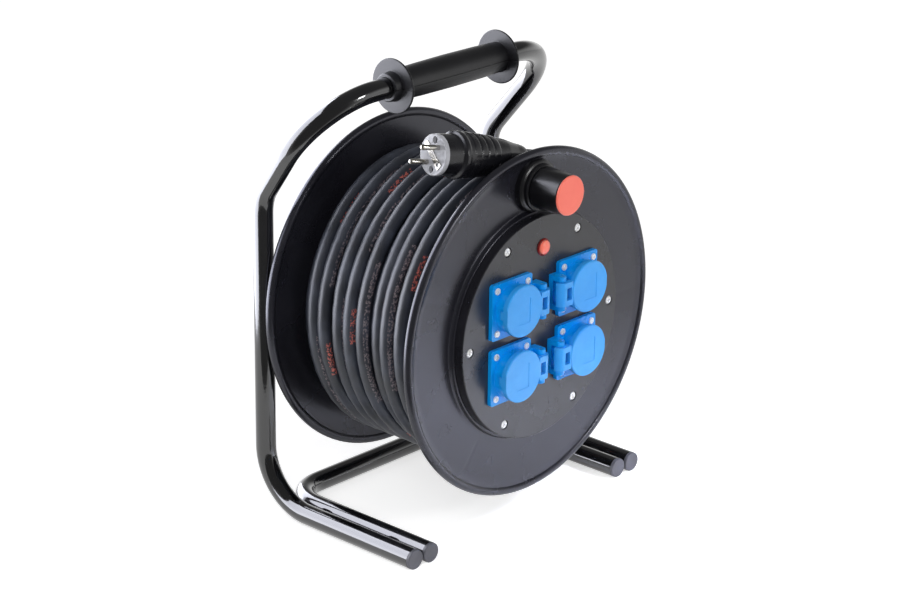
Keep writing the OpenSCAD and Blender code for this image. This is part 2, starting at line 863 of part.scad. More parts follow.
module hinge_pin() {
    color("#c3c6ca")
        translate([hinge_x, housing_w / 2 - 0.4, hinge_rise])
            rotate([90, 0, 0])
                cylinder(h = housing_w - 0.8, d = hinge_pin_d);
}

// Closed coil round the hinge pin, inside one end of the lid's barrel
module lid_springs() {
    color("#9a9da2")
        for (i = [0 : 3])
            at_socket(i)
                translate([hinge_x, neck_w / 2, hinge_rise])
                    rotate([90, 0, 0])
                        ring(hinge_pin_d / 2 + run_gap, spring_r, -knuckle_gap / 2, spring_l);
}

// Round lid with one flat side, its neck with a window, and its hinge barrel
module lid() {
    color("#58a8ff")
        difference() {
            union() {
                intersection() {
                    rotate_extrude()
                        polygon([
                            [0, lid_under], [lid_in_r, lid_under], [lid_in_r, lid_under - lid_skirt],
                            [lid_r, lid_under - lid_skirt], [lid_r, lid_top - 0.8], [lid_r - 0.8, lid_top],
                            [0, lid_top],
                        ]);
                    translate([-lid_flat, -lid_r - 1, 0])
                        cube([lid_flat + lid_r + 1, 2 * lid_r + 2, lid_top + 1]);
                }
                // skirt along the flat side, with the latch tab
                intersection() {
                    translate([-lid_flat, -lid_r, lid_under - lid_skirt])
                        cube([0.7, 2 * lid_r, lid_skirt + 0.5]);
                    rod(lid_r, 0, lid_top);
                }
                translate([-lid_flat, -3.5, lid_under - lid_skirt - 3]) cube([0.7, 7, 4]);
                translate([lid_in_r + 0.1, -neck_w / 2, hinge_rise + 1.2])
                    cube([hinge_x - lid_in_r - 0.1, neck_w, lid_top - hinge_rise - 1.9]);
                translate([hinge_x, neck_w / 2, hinge_rise])
                    rotate([90, 0, 0])
                        cylinder(h = neck_w, r = lid_barrel_r);
                translate([hinge_x, neck_w / 2, hinge_rise])
                    rotate([90, 0, 0])
                        intersection() {
                            cylinder(h = neck_w, r = nose_r);
                            translate([-0.5, 0, 0]) cube([20, lid_top, neck_w]);
                        }
            }
            translate([hinge_x, neck_w / 2 + 1, hinge_rise])
                rotate([90, 0, 0]) {
                    cylinder(h = neck_w + 2, r = hinge_pin_d / 2 + run_gap);
                    cylinder(h = spring_l + 1 + play, r = spring_r + play);
                }
            // window through the neck
            translate([lid_r + 0.6, -5.5, 0]) cube([hinge_x - lid_r - lid_barrel_r + 3.2, 11, lid_top + 1]);
            // shallow step on the lid's face
            translate([-8, -11, lid_top - 0.35]) cube([15, 22, 1]);
        }
}

// ---- thermal cut-out ----

module at_button() {
    on_drum() translate([0, button_z, panel_rise]) children();
}

module cutout_body() {
    color("#17171a")
        at_button()
            difference() {
                rod(cutout_r, -panel_t - cutout_l, -panel_t);
                rod(stem_r + 0.25, -stem_l - button_travel - 2, -panel_t + 1);
            }
}

module cutout_bezel() {
    color("#8c1d18")
        at_button()
            rotate_extrude()
                polygon([
                    [bezel_bore_r, -panel_t], [bezel_neck_r, -panel_t], [bezel_neck_r, 0], [bezel_r, 0],
                    [bezel_r, 0.7], [bezel_r - 0.8, 1.5], [bezel_bore_r, 1.5],
                ]);
}

module reset_button() {
    r = button_d / 2;
    dome = 2.4;
    dome_r = (r * r + dome * dome) / (2 * dome);
    color("#ff5a4d")
        at_button() {
            rod(r, button_foot, button_rise);
            intersection() {
                translate([0, 0, button_rise + dome - dome_r]) sphere(r = dome_r, $fn = 72);
                rod(r, button_rise - 0.2, button_rise + dome);
            }
            rod(stem_r, -stem_l, button_foot + 0.1);
        }
}

// ---- crank knob ----

module at_knob() {
    on_drum() translate([0, knob_r, 0]) children();
}

// Stepped collar on the flange, trimmed where it meets the panel's boss and the rim's bead
module knob_base() {
    r = knob_base_d / 2;
    color("#17171a")
        on_drum()
            difference() {
                translate([0, knob_r, 0])
                    rotate_extrude()
                        polygon([
                            [knob_pin_d / 2 + seat, web_front], [r, web_front], [r, 2], [r - 1.2, 3.2],
                            [r - 3, 4], [r - 3, knob_foot - 1], [r - 4, knob_foot],
                            [knob_pin_d / 2 + seat, knob_foot],
                        ]);
                rod(boss_base_r + seat, web_front - 1, knob_foot + 1);
                ring(flange_r - bead_d - seat, flange_r + knob_base_d, web_front - 1, knob_foot + 1);
            }
}

module knob_pin() {
    r = knob_pin_d / 2;
    color("#c3c6ca")
        at_knob() {
            rod(r, web_back, pin_top);
            rod(r + 3, web_back - 1.6, web_back);
            rod(pin_head_r, pin_top - pin_head_t, pin_top);
        }
}

module crank_knob() {
    foot = knob_foot + play;
    length = knob_end - foot;
    color("#1b1b1e")
        at_knob()
            difference() {
                intersection() {
                    translate([0, 0, foot]) cylinder(h = length, r1 = knob_d / 2 + 1, r2 = knob_d / 2);
                    rod_prism(knob_flats, knob_d / 2 + 0.25, foot - 1, knob_end + 1);
                }
                rod(knob_pin_d / 2 + run_gap, foot - 1, knob_end + 1);
                rod(pin_head_r + play, pin_top - pin_head_t - play, knob_end + 1);
            }
}

// Prism with a number of flats, at a distance from its axis
module rod_prism(flats, inner_r, z1, z2) {
    translate([0, 0, z1]) cylinder(h = z2 - z1, r = inner_r / cos(180 / flats), $fn = flats);
}

module knob_cap() {
    r = knob_d / 2 - 0.4;
    color("#ff8276")
        at_knob()
            rotate_extrude()
                polygon([[0, knob_end], [r, knob_end], [r, knob_l - 0.7], [r - 0.7, knob_l], [0, knob_l]]);
}

// ---- inside the barrel ----

module terminal_block() {
    color("#e8e4d8")
        on_drum()
            translate([-block_size.x / 2, -block_size.y / 2, block_top - block_size.z])
                cube(block_size);
}

// Flat leads from the terminal block's sides, each with a post up to the back of its socket
module socket_leads() {
    near = block_size.x / 2;
    y = block_size.y / 4;
    half = lead_w / 2;
    color("#3a3a40")
        on_drum()
            for (s = SOCKETS)
                mirror([s[0] < 0 ? 1 : 0, 0, 0])
                    mirror([0, s[1] < 0 ? 1 : 0, 0]) {
                        translate([0, 0, lead_z - half])
                            linear_extrude(lead_w)
                                polygon([
                                    [near, y - half], [socket_x + half, y - half],
                                    [socket_x + half, socket_z + half], [socket_x - half, socket_z + half],
                                    [socket_x - half, y + half], [near, y + half],
                                ]);
                        translate([socket_x, socket_z, 0])
                            rod(lead_w * 0.4, lead_z + half - seam_lap, panel_rise - socket_depth);
                    }
}

// Inner end of the cable, from the first layer through the barrel's wall to the terminal block
module supply_lead() {
    color("#161618") on_drum() bent_rod(LEAD_PATH, LEAD_BENDS, cable_d);
}

// ---- cable ----

// Frame at the inlet: x along the cable, y outwards from the barrel
module at_inlet() {
    rotate([0, 0, -inlet_angle])
        translate([0, layer_1_r, inlet_z])
            mirror([1, 0, 0])
                children();
}

// Room for the cable on its way through the barrel's wall
module inlet_passage() {
    bent_rod(LEAD_PATH, LEAD_BENDS, cable_d + 4 * seat, 1);
}

// Ramp on the barrel that brings the cable out along the first layer
module cable_inlet() {
    color("#1a1a1c")
        on_drum()
            difference() {
                at_inlet()
                    translate([0, 0, -inlet_w / 2])
                        linear_extrude(inlet_w)
                            polygon([
                                [-inlet_l, -2 * cable_d], [inlet_l / 2, -2 * cable_d],
                                [inlet_l / 2, cable_r + 1.4], [-2, cable_r + 1.4], [-inlet_l, 2 - cable_r],
                            ]);
                inlet_passage();
                rod(barrel_r, core_back - 20, core_front + 20);
            }
}

// Inner layers of the cable as one core, with the turn that climbs to the outer layer
module cable_layers() {
    color("#1d1e20")
        on_drum() {
            difference() {
                ring(barrel_r, core_r, core_back, core_front);
                at_inlet()
                    translate([-inlet_l - play, -2 * cable_d, -inlet_w / 2 - play])
                        cube([1.5 * inlet_l + play, 2.5 * cable_d + 1.4 + play, inlet_w + 2 * play]);
            }
            dive_turn();
        }
}

// Angle, depth and radius at which the cable leaves the plug's boot
tail_run = plug_reach - plug_l * cos(plug_turn);
tail_start = tail_angle - atan(tail_run / tail_r);
tail_z = plug_z - plug_l * sin(plug_turn);

// Share of the way from the plug's line to the outer layer at an angle
function settled(a) = ease((a - tail_start) / tail_drop_over);

// Depth of the outer layer behind the front rim at an angle
function wind_depth(a) =
    let (helix = wind_front + wind_pitch * (a - left_side) / 360)
    let (run = min(tail_run, tail_run - tail_r * tan(tail_angle - min(a, tail_angle))))
    helix * settled(a) + (tail_z - run * tan(plug_turn)) * (1 - settled(a));

// Radius of the outer layer at an angle: the tail comes down from the plug's line
function wind_radius(a) =
    wind_r * settled(a) + tail_r / cos(min(a, tail_angle) - tail_angle) * (1 - settled(a));

function wind_point(a) = [wind_radius(a) * sin(a), wind_radius(a) * cos(a), -wind_depth(a)];

// Direction in which the tube runs towards the plug at its start, and inwards at its end
TAIL_DIR = [-cos(tail_angle) * cos(plug_turn), sin(tail_angle) * cos(plug_turn), -sin(plug_turn)];
END_DIR = [cos(end_angle), -sin(end_angle), 0];

tail_rings = 12;
settled_angle = tail_start + tail_drop_over;
wind_steps = ceil((end_angle - settled_angle) / ring_step);
WIND_ANGLES = concat(
    [for (i = [0 : tail_rings - 1]) tail_start + tail_drop_over * i / tail_rings],
    [for (i = [0 : wind_steps]) settled_angle + (end_angle - settled_angle) * i / wind_steps]
);
WIND_START = wind_point(tail_start);
WIND_END = wind_point(end_angle);
WIND_PATH = concat([for (a = WIND_ANGLES) wind_point(a)], [WIND_END + END_DIR * cable_d]);

// Part of an arc that carries the outer layer's inner end down into the core
module dive_turn() {
    e = WIND_END + END_DIR * cable_d;
    inwards = [-sin(end_angle), -cos(end_angle), 0];
    c = e + inwards * dive_r;
    multmatrix([
        [-inwards.x, END_DIR.x, 0, c.x], [-inwards.y, END_DIR.y, 0, c.y],
        [-inwards.z, END_DIR.z, 1, c.z], [0, 0, 0, 1],
    ])
        mirror([0, 0, 1])
            rotate_extrude(angle = dive_angle) translate([dive_r, 0]) circle(r = cable_r);
}

// Points of one ring of the tube, with a flat towards the barrel
function wind_ring(i) =
    let (last = len(WIND_PATH) - 1)
    let (p = WIND_PATH[i])
    let (t = i == 0 ? -TAIL_DIR
            : i >= last - 1 ? END_DIR
            : unit(WIND_PATH[i + 1] - WIND_PATH[i - 1]))
    let (out = unit([p.x, p.y, 0] - t * ([p.x, p.y, 0] * t)))
    let (side = cross(t, out))
    [for (k = [0 : tube_sides - 1])
        let (q = 180 / tube_sides + 360 * k / tube_sides)
        p + cable_r * (cos(q) * out + sin(q) * side)];

// Least gap between stretches of the tube that are over half a turn apart along it
wind_gap = min([
    for (i = [0 : len(WIND_PATH) - 1], j = [i + tail_rings + 12 : 1 : len(WIND_PATH) - 1])
        norm(WIND_PATH[i] - WIND_PATH[j])
]) - cable_d;
echo(wind_gap = wind_gap);

// Outer layer of the cable with its tail, one unbroken tube
module cable_winding() {
    rings = len(WIND_PATH);
    n = tube_sides;
    points = [for (i = [0 : rings - 1]) each wind_ring(i)];
    sides = [
        for (i = [0 : rings - 2], k = [0 : n - 1])
            let (a = i * n + k, b = i * n + (k + 1) % n)
            each [[a, b, b + n], [a, b + n, a + n]]
    ];
    first = [for (k = [1 : n - 2]) [0, k + 1, k]];
    last = [for (k = [1 : n - 2]) [(rings - 1) * n, (rings - 1) * n + k, (rings - 1) * n + k + 1]];
    color("#222426")
        on_drum()
            polyhedron(points = points, faces = concat(sides, first, last));
}

// ---- plug ----

// The plug's frame: origin at its face, z out of the face, y towards the axle
module at_plug() {
    on_drum()
        translate(WIND_START + TAIL_DIR * plug_l)
            rotate([0, 0, 180 - tail_angle])
                rotate([0, 90 + plug_turn, 0])
                    children();
}

// Rubber body: a neck round the face, a bead, a ribbed taper and the bend boot
module plug_body() {
    bead_r = plug_bead_d / 2;
    neck_r = plug_face_d / 2 + seat;
    boot_r = cable_r + seat;
    color("#1a1a1c")
        at_plug() {
            rotate_extrude()
                polygon(concat(
                    [[0, -plug_face_t], [neck_r, -plug_face_t], [neck_r, -plug_neck * plug_l]],
                    [for (p = PLUG_TAPER) [p[1] * bead_r, -p[0] * plug_l]],
                    [[boot_r, -plug_l], [0, -plug_l]]
                ));
            // finger ribs round the taper
            for (p = PLUG_RIBS)
                translate([0, 0, -p[0] * plug_l])
                    rotate_extrude()
                        translate([p[1] * bead_r, 0]) circle(r = plug_rib_r, $fn = 24);
        }
}

// Hard insert that carries the pins, with two screw wells
module plug_face() {
    r = plug_face_d / 2;
    color("#8f9196")
        at_plug()
            difference() {
                rotate_extrude()
                    polygon([[0, -plug_face_t], [r, -plug_face_t], [r, -0.8], [r - 0.8, 0], [0, 0]]);
                for (end = [-1, 1])
                    translate([0, end * well_offset, 0]) rod(screw_well_r, -plug_face_t - 1, 1);
                for (side = [-1, 1])
                    rotate([0, 0, pin_turn])
                        translate([side * pin_pitch / 2, 0, 0])
                            rod(pin_neck_r, -plug_face_t - 1, 1);
            }
}

module plug_pins() {
    r = plug_pin_d / 2;
    color("#d8d2c0")
        at_plug()
            rotate([0, 0, pin_turn])
                for (side = [-1, 1])
                    translate([side * pin_pitch / 2, 0, 0])
                        rotate_extrude()
                            polygon([
                                [0, -plug_face_t], [pin_neck_r, -plug_face_t], [pin_neck_r, 0],
                                [r, 0], [r, plug_pin_l - 2],
                                [r - 0.5, plug_pin_l - 0.7], [r - 1.3, plug_pin_l], [0, plug_pin_l],
                            ]);
}

// Flat earth strap across the face, with a square pad that has the earth pin's opening
module plug_strap() {
    pad_x = strap_r - strap_pad / 2;
    color("#dfe0e2")
        at_plug()
            rotate([0, 0, pin_turn + 90])
                difference() {
                    linear_extrude(strap_t)
                        polygon([
                            [-strap_r, -strap_w * 0.3], [-strap_r * 0.9, -strap_w / 2],
                            [strap_r - strap_pad, -strap_w / 2], [strap_r - strap_pad, -strap_pad / 2],
                            [strap_r, -strap_pad / 2], [strap_r, strap_pad / 2],
                            [strap_r - strap_pad, strap_pad / 2], [strap_r - strap_pad, strap_w / 2],
                            [-strap_r * 0.9, strap_w / 2], [-strap_r, strap_w * 0.3],
                        ]);
                    translate([pad_x, 0, 0]) rod(strap_hole_r, -1, strap_t + 1);
                }
}

// ---- nodes ----

main_tube();
base_tube();
weld_bridges();
foot_cap(-post_x);  // foot_cap_left_outer
foot_cap(-base_x);  // foot_cap_left_inner
foot_cap(base_x);  // foot_cap_right_inner
foot_cap(post_x);  // foot_cap_right_outer
cross_tube();
axle();
rear_washer();
front_washer();
axle_nut();
grip_half(90);  // grip_upper
grip_half(-90);  // grip_lower
rear_flange();
hub_bush();
barrel();
rear_screws();
front_flange();
panel_seal();
panel_cover();
panel_screws();
for (i = [0 : 3]) {
    at_socket(i) socket_body();
    at_socket(i) socket_contacts();
    at_socket(i) hinge_pin();
    at_socket(i) lid();
}
socket_screws();
lid_springs();
cutout_body();
cutout_bezel();
reset_button();
knob_base();
knob_pin();
crank_knob();
knob_cap();
terminal_block();
socket_leads();
supply_lead();
cable_inlet();
cable_layers();
cable_winding();
plug_body();
plug_face();
plug_pins();
plug_strap();
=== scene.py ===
import json
import math

import bmesh
import bpy
import numpy as np
from mathutils import Matrix, Vector

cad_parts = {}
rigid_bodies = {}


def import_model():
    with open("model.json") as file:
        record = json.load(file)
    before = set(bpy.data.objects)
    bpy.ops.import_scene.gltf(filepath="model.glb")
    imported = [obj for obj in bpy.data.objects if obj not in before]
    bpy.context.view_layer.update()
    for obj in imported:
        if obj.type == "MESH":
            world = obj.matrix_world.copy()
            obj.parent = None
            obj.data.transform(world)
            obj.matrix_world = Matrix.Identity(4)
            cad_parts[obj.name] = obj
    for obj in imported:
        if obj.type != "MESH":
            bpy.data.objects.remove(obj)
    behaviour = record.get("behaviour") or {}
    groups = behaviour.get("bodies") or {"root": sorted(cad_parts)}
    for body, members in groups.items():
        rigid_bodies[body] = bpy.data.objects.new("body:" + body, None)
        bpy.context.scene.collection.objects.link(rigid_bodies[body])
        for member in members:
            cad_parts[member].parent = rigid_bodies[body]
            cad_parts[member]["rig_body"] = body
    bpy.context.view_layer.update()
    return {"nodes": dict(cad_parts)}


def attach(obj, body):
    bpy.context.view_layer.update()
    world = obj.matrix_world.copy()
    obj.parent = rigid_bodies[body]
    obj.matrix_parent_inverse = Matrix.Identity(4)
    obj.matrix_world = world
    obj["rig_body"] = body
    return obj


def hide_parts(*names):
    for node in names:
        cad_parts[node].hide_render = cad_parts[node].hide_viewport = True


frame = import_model()


# ---- Camera ----
# A long lens well back from the reel, a little above it and to its left, so that the drum's
# face and the winding behind it both show.

CAMERA_PLACE = (-1.67635, -1.52470, 1.02870)
CAMERA_AZIMUTH = -47.33
CAMERA_ELEVATION = 20.42
CAMERA_ROLL = 0.68
CAMERA_LENS = 110.53
SENSOR_WIDTH = 36.0
CLIP_END = 20.0

azimuth = math.radians(CAMERA_AZIMUTH)
elevation = math.radians(CAMERA_ELEVATION)
roll = math.radians(CAMERA_ROLL)
ahead = Vector((
    -math.sin(azimuth) * math.cos(elevation),
    math.cos(azimuth) * math.cos(elevation),
    -math.sin(elevation),
))
level = ahead.cross(Vector((0, 0, 1))).normalized()
upright = level.cross(ahead)
camera_x = level * math.cos(roll) + upright * math.sin(roll)
camera_y = upright * math.cos(roll) - level * math.sin(roll)

camera_data = bpy.data.cameras.new("camera")
camera_data.lens = CAMERA_LENS
camera_data.sensor_width = SENSOR_WIDTH
camera_data.sensor_fit = "HORIZONTAL"
camera_data.clip_end = CLIP_END
camera = bpy.data.objects.new("camera", camera_data)
bpy.context.scene.collection.objects.link(camera)
turn = Matrix((camera_x, camera_y, -ahead)).transposed().to_4x4()
camera.matrix_world = Matrix.Translation(CAMERA_PLACE) @ turn
bpy.context.scene.camera = camera


# ---- Cable ----
# Rubber-sheathed three-core cable, wound on the barrel in three layers. Its outer end leaves the
# front of the winding over the turns below it and runs into the plug's boot; its inner end goes
# through the barrel's wall at the rear. The sheath is printed with short marks along its length.

# Lengths are in mm and angles in degrees. Angles about the axle run clockwise from the top, seen
# from the front, and depths run back from the front flange's rim.
DRUM_FRONT = -76.75
AXLE_HEIGHT = 184.0
CABLE_RADIUS = 6.25
LAYER_RADII = (103.5, 115.0, 126.5)
# the tail's straight end, which the plug's axis carries on, and how far round it drops to the turns
TAIL_ANGLE = 11.2
TAIL_RADIUS = 141.3
TAIL_DROP = 50.0
PLUG_REACH = 112.5
PLUG_DEPTH = 42.0
PLUG_TURN = math.radians(9)
PLUG_LENGTH = 99.0
IN_BOOT = 6.0
# the outer layer's depths where it passes the left side, and the turn that has sunk between others
LEFT_SIDE = 270.0
OUTER_DEPTHS = (36, 52, 66, 80, 96, 109, 126, 139)
SUNKEN_TURN = 2
SUNKEN_BY = 4.0
SUNKEN_SPAN = 240.0
# how far each turn wanders along the drum, how fast, and from which angle on
WANDER = 0.5
WANDER_RATE = 1.37
WANDER_START = 300.0
WANDER_EASE = 200.0
# the crossings from layer to layer, and the first and last depths of the two inner layers
REAR_CROSSING = 190.0
MIDDLE_DEPTHS = (158.5, 12.9)
MIDDLE_TURNS = 11.5
FRONT_CROSSING = 150.0
INNER_DEPTHS = (12.7, 152.5)
INLET_ANGLE = 160.0
# the mesh of the sheath: rings to each turn about the axle, and sides round the sheath
RINGS_PER_TURN = 48
CABLE_SIDES = 20
# points closer than this many metres are one point, and faces that meet at less than this angle
# are shaded as one
MERGED = 1e-6
SMOOTH_UNDER = 40
# The print repeats at a spacing in metres. Each group of strokes has its start and its width as
# shares of that, its ink, and how strongly it covers. The row's half width and how far its middle
# may wander are shares of half the way round the sheath.
PRINT_SPACING = 0.31
PRINT_GROUPS = ((0.1, 0.1, "#cf6a5c", 0.9), (0.36, 0.42, "#9c8e92", 0.65))
PRINT_HALF_WIDTH = 0.13
PRINT_SWING = 1.1
SWINGS_TO_THE_METRE = 1.3
STROKES_TO_THE_METRE = 420.0


def on_drum(points):
    """Points in the drum's own frame, in mm, to the reel's frame: x stays, local y is up from the
    axle, and local z is forward from the front rim."""
    x, y, z = np.moveaxis(np.asarray(points, float), -1, 0)
    return np.stack([x, DRUM_FRONT - z, AXLE_HEIGHT + y], -1)


def ease(t):
    """Smooth step: 3 t squared less 2 t cubed, with t held between 0 and 1."""
    t = np.clip(t, 0, 1)
    return t * t * (3 - 2 * t)


def towards_plug():
    """Unit vector along the plug, from its boot to its face, in the drum's frame: square to the
    radius at the tail's angle, and turned away from the front flange."""
    a = math.radians(TAIL_ANGLE)
    flat = math.cos(PLUG_TURN)
    return np.array([-math.cos(a) * flat, math.sin(a) * flat, -math.sin(PLUG_TURN)])


def cable_line():
    """Centreline from the plug's boot to the inlet. The angle about the axle grows steadily. The
    tail starts on the plug's own straight line, whose radius at an angle is the tail's radius over
    the cosine of the angle left, and eases down to the outer layer. From there the radius is a
    layer's, eased from one to the next at each crossing, and the depth runs linearly between the
    passes of the left side in the outer layer, and from rim to rim in the others."""
    outer_end = LEFT_SIDE + 360 * (len(OUTER_DEPTHS) - 1)
    middle_start = outer_end + REAR_CROSSING
    middle_end = middle_start + 360 * MIDDLE_TURNS
    inner_start = middle_end + FRONT_CROSSING
    inner_turns = (INNER_DEPTHS[1] - INNER_DEPTHS[0]) / (2 * CABLE_RADIUS)
    inner_end = INLET_ANGLE + 360 * round((inner_start + 360 * inner_turns - INLET_ANGLE) / 360)
    tail_run = PLUG_REACH - PLUG_LENGTH * math.cos(PLUG_TURN)
    tail_start = TAIL_ANGLE - math.degrees(math.atan(tail_run / TAIL_RADIUS))
    count = int((inner_end - tail_start) / 360 * RINGS_PER_TURN)
    angle = np.linspace(tail_start, inner_end, count)

    passes = LEFT_SIDE + 360 * np.arange(len(OUTER_DEPTHS))
    first_pitch = (OUTER_DEPTHS[-1] - OUTER_DEPTHS[0]) / (len(OUTER_DEPTHS) - 1)
    lead_in = OUTER_DEPTHS[0] + first_pitch * (tail_start - LEFT_SIDE) / 360
    depth = np.interp(
        angle,
        [tail_start, *passes, middle_start, middle_end, inner_start, inner_end],
        [lead_in, *OUTER_DEPTHS, *MIDDLE_DEPTHS, *INNER_DEPTHS],
    )
    loose = 1 - ease((angle - tail_start) / TAIL_DROP)
    left = np.radians(TAIL_ANGLE - np.minimum(angle, TAIL_ANGLE))
    run = tail_run - TAIL_RADIUS * np.tan(left)
    tail_depth = PLUG_DEPTH - PLUG_LENGTH * math.sin(PLUG_TURN) - run * math.tan(PLUG_TURN)
    depth += (tail_depth - depth) * loose

    radius = LAYER_RADII[2] + (TAIL_RADIUS / np.cos(left) - LAYER_RADII[2]) * loose
    sunken = np.clip((angle - passes[SUNKEN_TURN]) / SUNKEN_SPAN, -1, 1)
    radius -= SUNKEN_BY * (1 + np.cos(math.pi * sunken)) / 2
    radius -= (LAYER_RADII[2] - LAYER_RADII[1]) * ease((angle - outer_end) / REAR_CROSSING)
    radius -= (LAYER_RADII[1] - LAYER_RADII[0]) * ease((angle - middle_end) / FRONT_CROSSING)
    # turns never lie perfectly: each wanders a little along the drum
    wandering = ease((angle - WANDER_START) / WANDER_EASE)
    depth += WANDER * np.sin(np.radians(angle * WANDER_RATE)) * wandering

    a = np.radians(angle)
    line = np.stack([radius * np.sin(a), radius * np.cos(a), -depth], -1)
    boot = line[0] + towards_plug() * IN_BOOT
    return on_drum(np.concatenate([boot[None], line]))


def link(name, mesh):
    """Puts a mesh into the scene as an object at the origin."""
    thing = bpy.data.objects.new(name, mesh)
    bpy.context.scene.collection.objects.link(thing)
    return thing


def surface(name, points, ends=True, along=False):
    """Mesh of a grid of points in mm, rows by columns: quads between neighbours, closed round the
    columns and, if asked, along the rows, with a flat polygon over each open end. Its doubles are
    merged, and its faces turned outwards."""
    rows, columns = points.shape[:2]
    r = np.arange(rows if along else rows - 1)[:, None]
    c = np.arange(columns)[None, :]
    r2, c2 = (r + 1) % rows, (c + 1) % columns
    corners = [r * columns + c, r * columns + c2, r2 * columns + c2, r2 * columns + c]
    quads = np.stack(np.broadcast_arrays(*corners), -1).reshape(-1, 4)
    faces = quads.tolist()
    if ends and not along:
        faces.append(list(range(columns))[::-1])
        faces.append(list(range((rows - 1) * columns, rows * columns)))
    mesh = bpy.data.meshes.new(name)
    mesh.from_pydata((points.reshape(-1, 3) / 1000).tolist(), [], faces)
    work = bmesh.new()
    work.from_mesh(mesh)
    bmesh.ops.remove_doubles(work, verts=work.verts, dist=MERGED)
    bmesh.ops.recalc_face_normals(work, faces=work.faces)
    work.to_mesh(mesh)
    work.free()
    mesh.polygons.foreach_set("use_smooth", [True] * len(mesh.polygons))
    mesh.set_sharp_from_angle(angle=math.radians(SMOOTH_UNDER))
    return link(name, mesh)


def tube(name, line, radius, sides, reference=None):
    """Round tube along a line: each ring lies in the plane square to the line's tangent, turned so
    that its first point faces away from the drum's axle, or lies square to the reference."""
    tangent = np.gradient(line, axis=0)
    tangent /= np.linalg.norm(tangent, axis=1)[:, None]
    if reference is None:
        outward = line - np.array([0, 0, AXLE_HEIGHT])
        outward[:, 1] = 0
    else:
        outward = np.cross(tangent, reference)
    outward -= tangent * np.sum(outward * tangent, 1)[:, None]
    outward /= np.linalg.norm(outward, axis=1)[:, None]
    across = np.cross(tangent, outward)
    t = 2 * math.pi * np.arange(sides) / sides
    ring = np.cos(t)[None, :, None] * outward[:, None] + np.sin(t)[None, :, None] * across[:, None]
    return surface(name, line[:, None] + radius * ring)


def length_marks(piece, line, columns):
    """Two attributes on a tube's points: the distance along the line in metres, and the place
    round the tube, which is 1 at a ring's first point and falls evenly to 0 opposite it."""
    steps = np.linalg.norm(np.diff(line, axis=0), axis=1)
    distance = np.concatenate([[0], np.cumsum(steps)]) / 1000
    along = piece.data.attributes.new("along", "FLOAT", "POINT")
    along.data.foreach_set("value", np.repeat(distance, columns).astype(np.float32))
    side = piece.data.attributes.new("side", "FLOAT", "POINT")
    place = np.abs(np.arange(columns) / columns * 2 - 1)
    side.data.foreach_set("value", np.tile(place, len(line)).astype(np.float32))


def linear(hex_colour):
    """Linear colour of an sRGB hex value: each channel c is c / 12.92 below 0.04045, and otherwise
    ((c + 0.055) / 1.055) to the power 2.4."""
    channels = [int(hex_colour[i:i + 2], 16) / 255 for i in (1, 3, 5)]
    return [c / 12.92 if c < 0.04045 else ((c + 0.055) / 1.055) ** 2.4 for c in channels] + [1.0]


def feed(tree, node, inputs):
    """Gives each named socket of a node its value or its link."""
    for key, value in inputs.items():
        if isinstance(value, bpy.types.NodeSocket):
            tree.links.new(value, node.inputs[key])
        else:
            node.inputs[key].default_value = value


def add(tree, kind, inputs=None, stops=(), **settings):
    """Adds a node: settings are its attributes, inputs feeds its sockets, and stops gives a colour
    ramp its places and hex colours."""
    node = tree.nodes.new(kind)
    for key, value in settings.items():
        setattr(node, key, value)
    feed(tree, node, inputs or {})
    for index, (place, colour) in enumerate(stops):
        elements = node.color_ramp.elements
        element = elements[index] if index < len(elements) else elements.new(float(place))
        element.position = float(place)
        element.color = linear(colour)
    return node


def finish(name):
    """A new material with its Principled node."""
    material = bpy.data.materials.new(name)
    material.use_nodes = True
    return material, material.node_tree, material.node_tree.nodes["Principled BSDF"]


def shade(colours, low, high):
    """Stops of a colour ramp: the colours, evenly spaced between low and high."""
    return list(zip(np.linspace(low, high, len(colours)), colours))


def to_the_metre(size):
    """Scale of a pattern on metres whose patches are a size in mm: 1000 over the size."""
    return 1000 / size


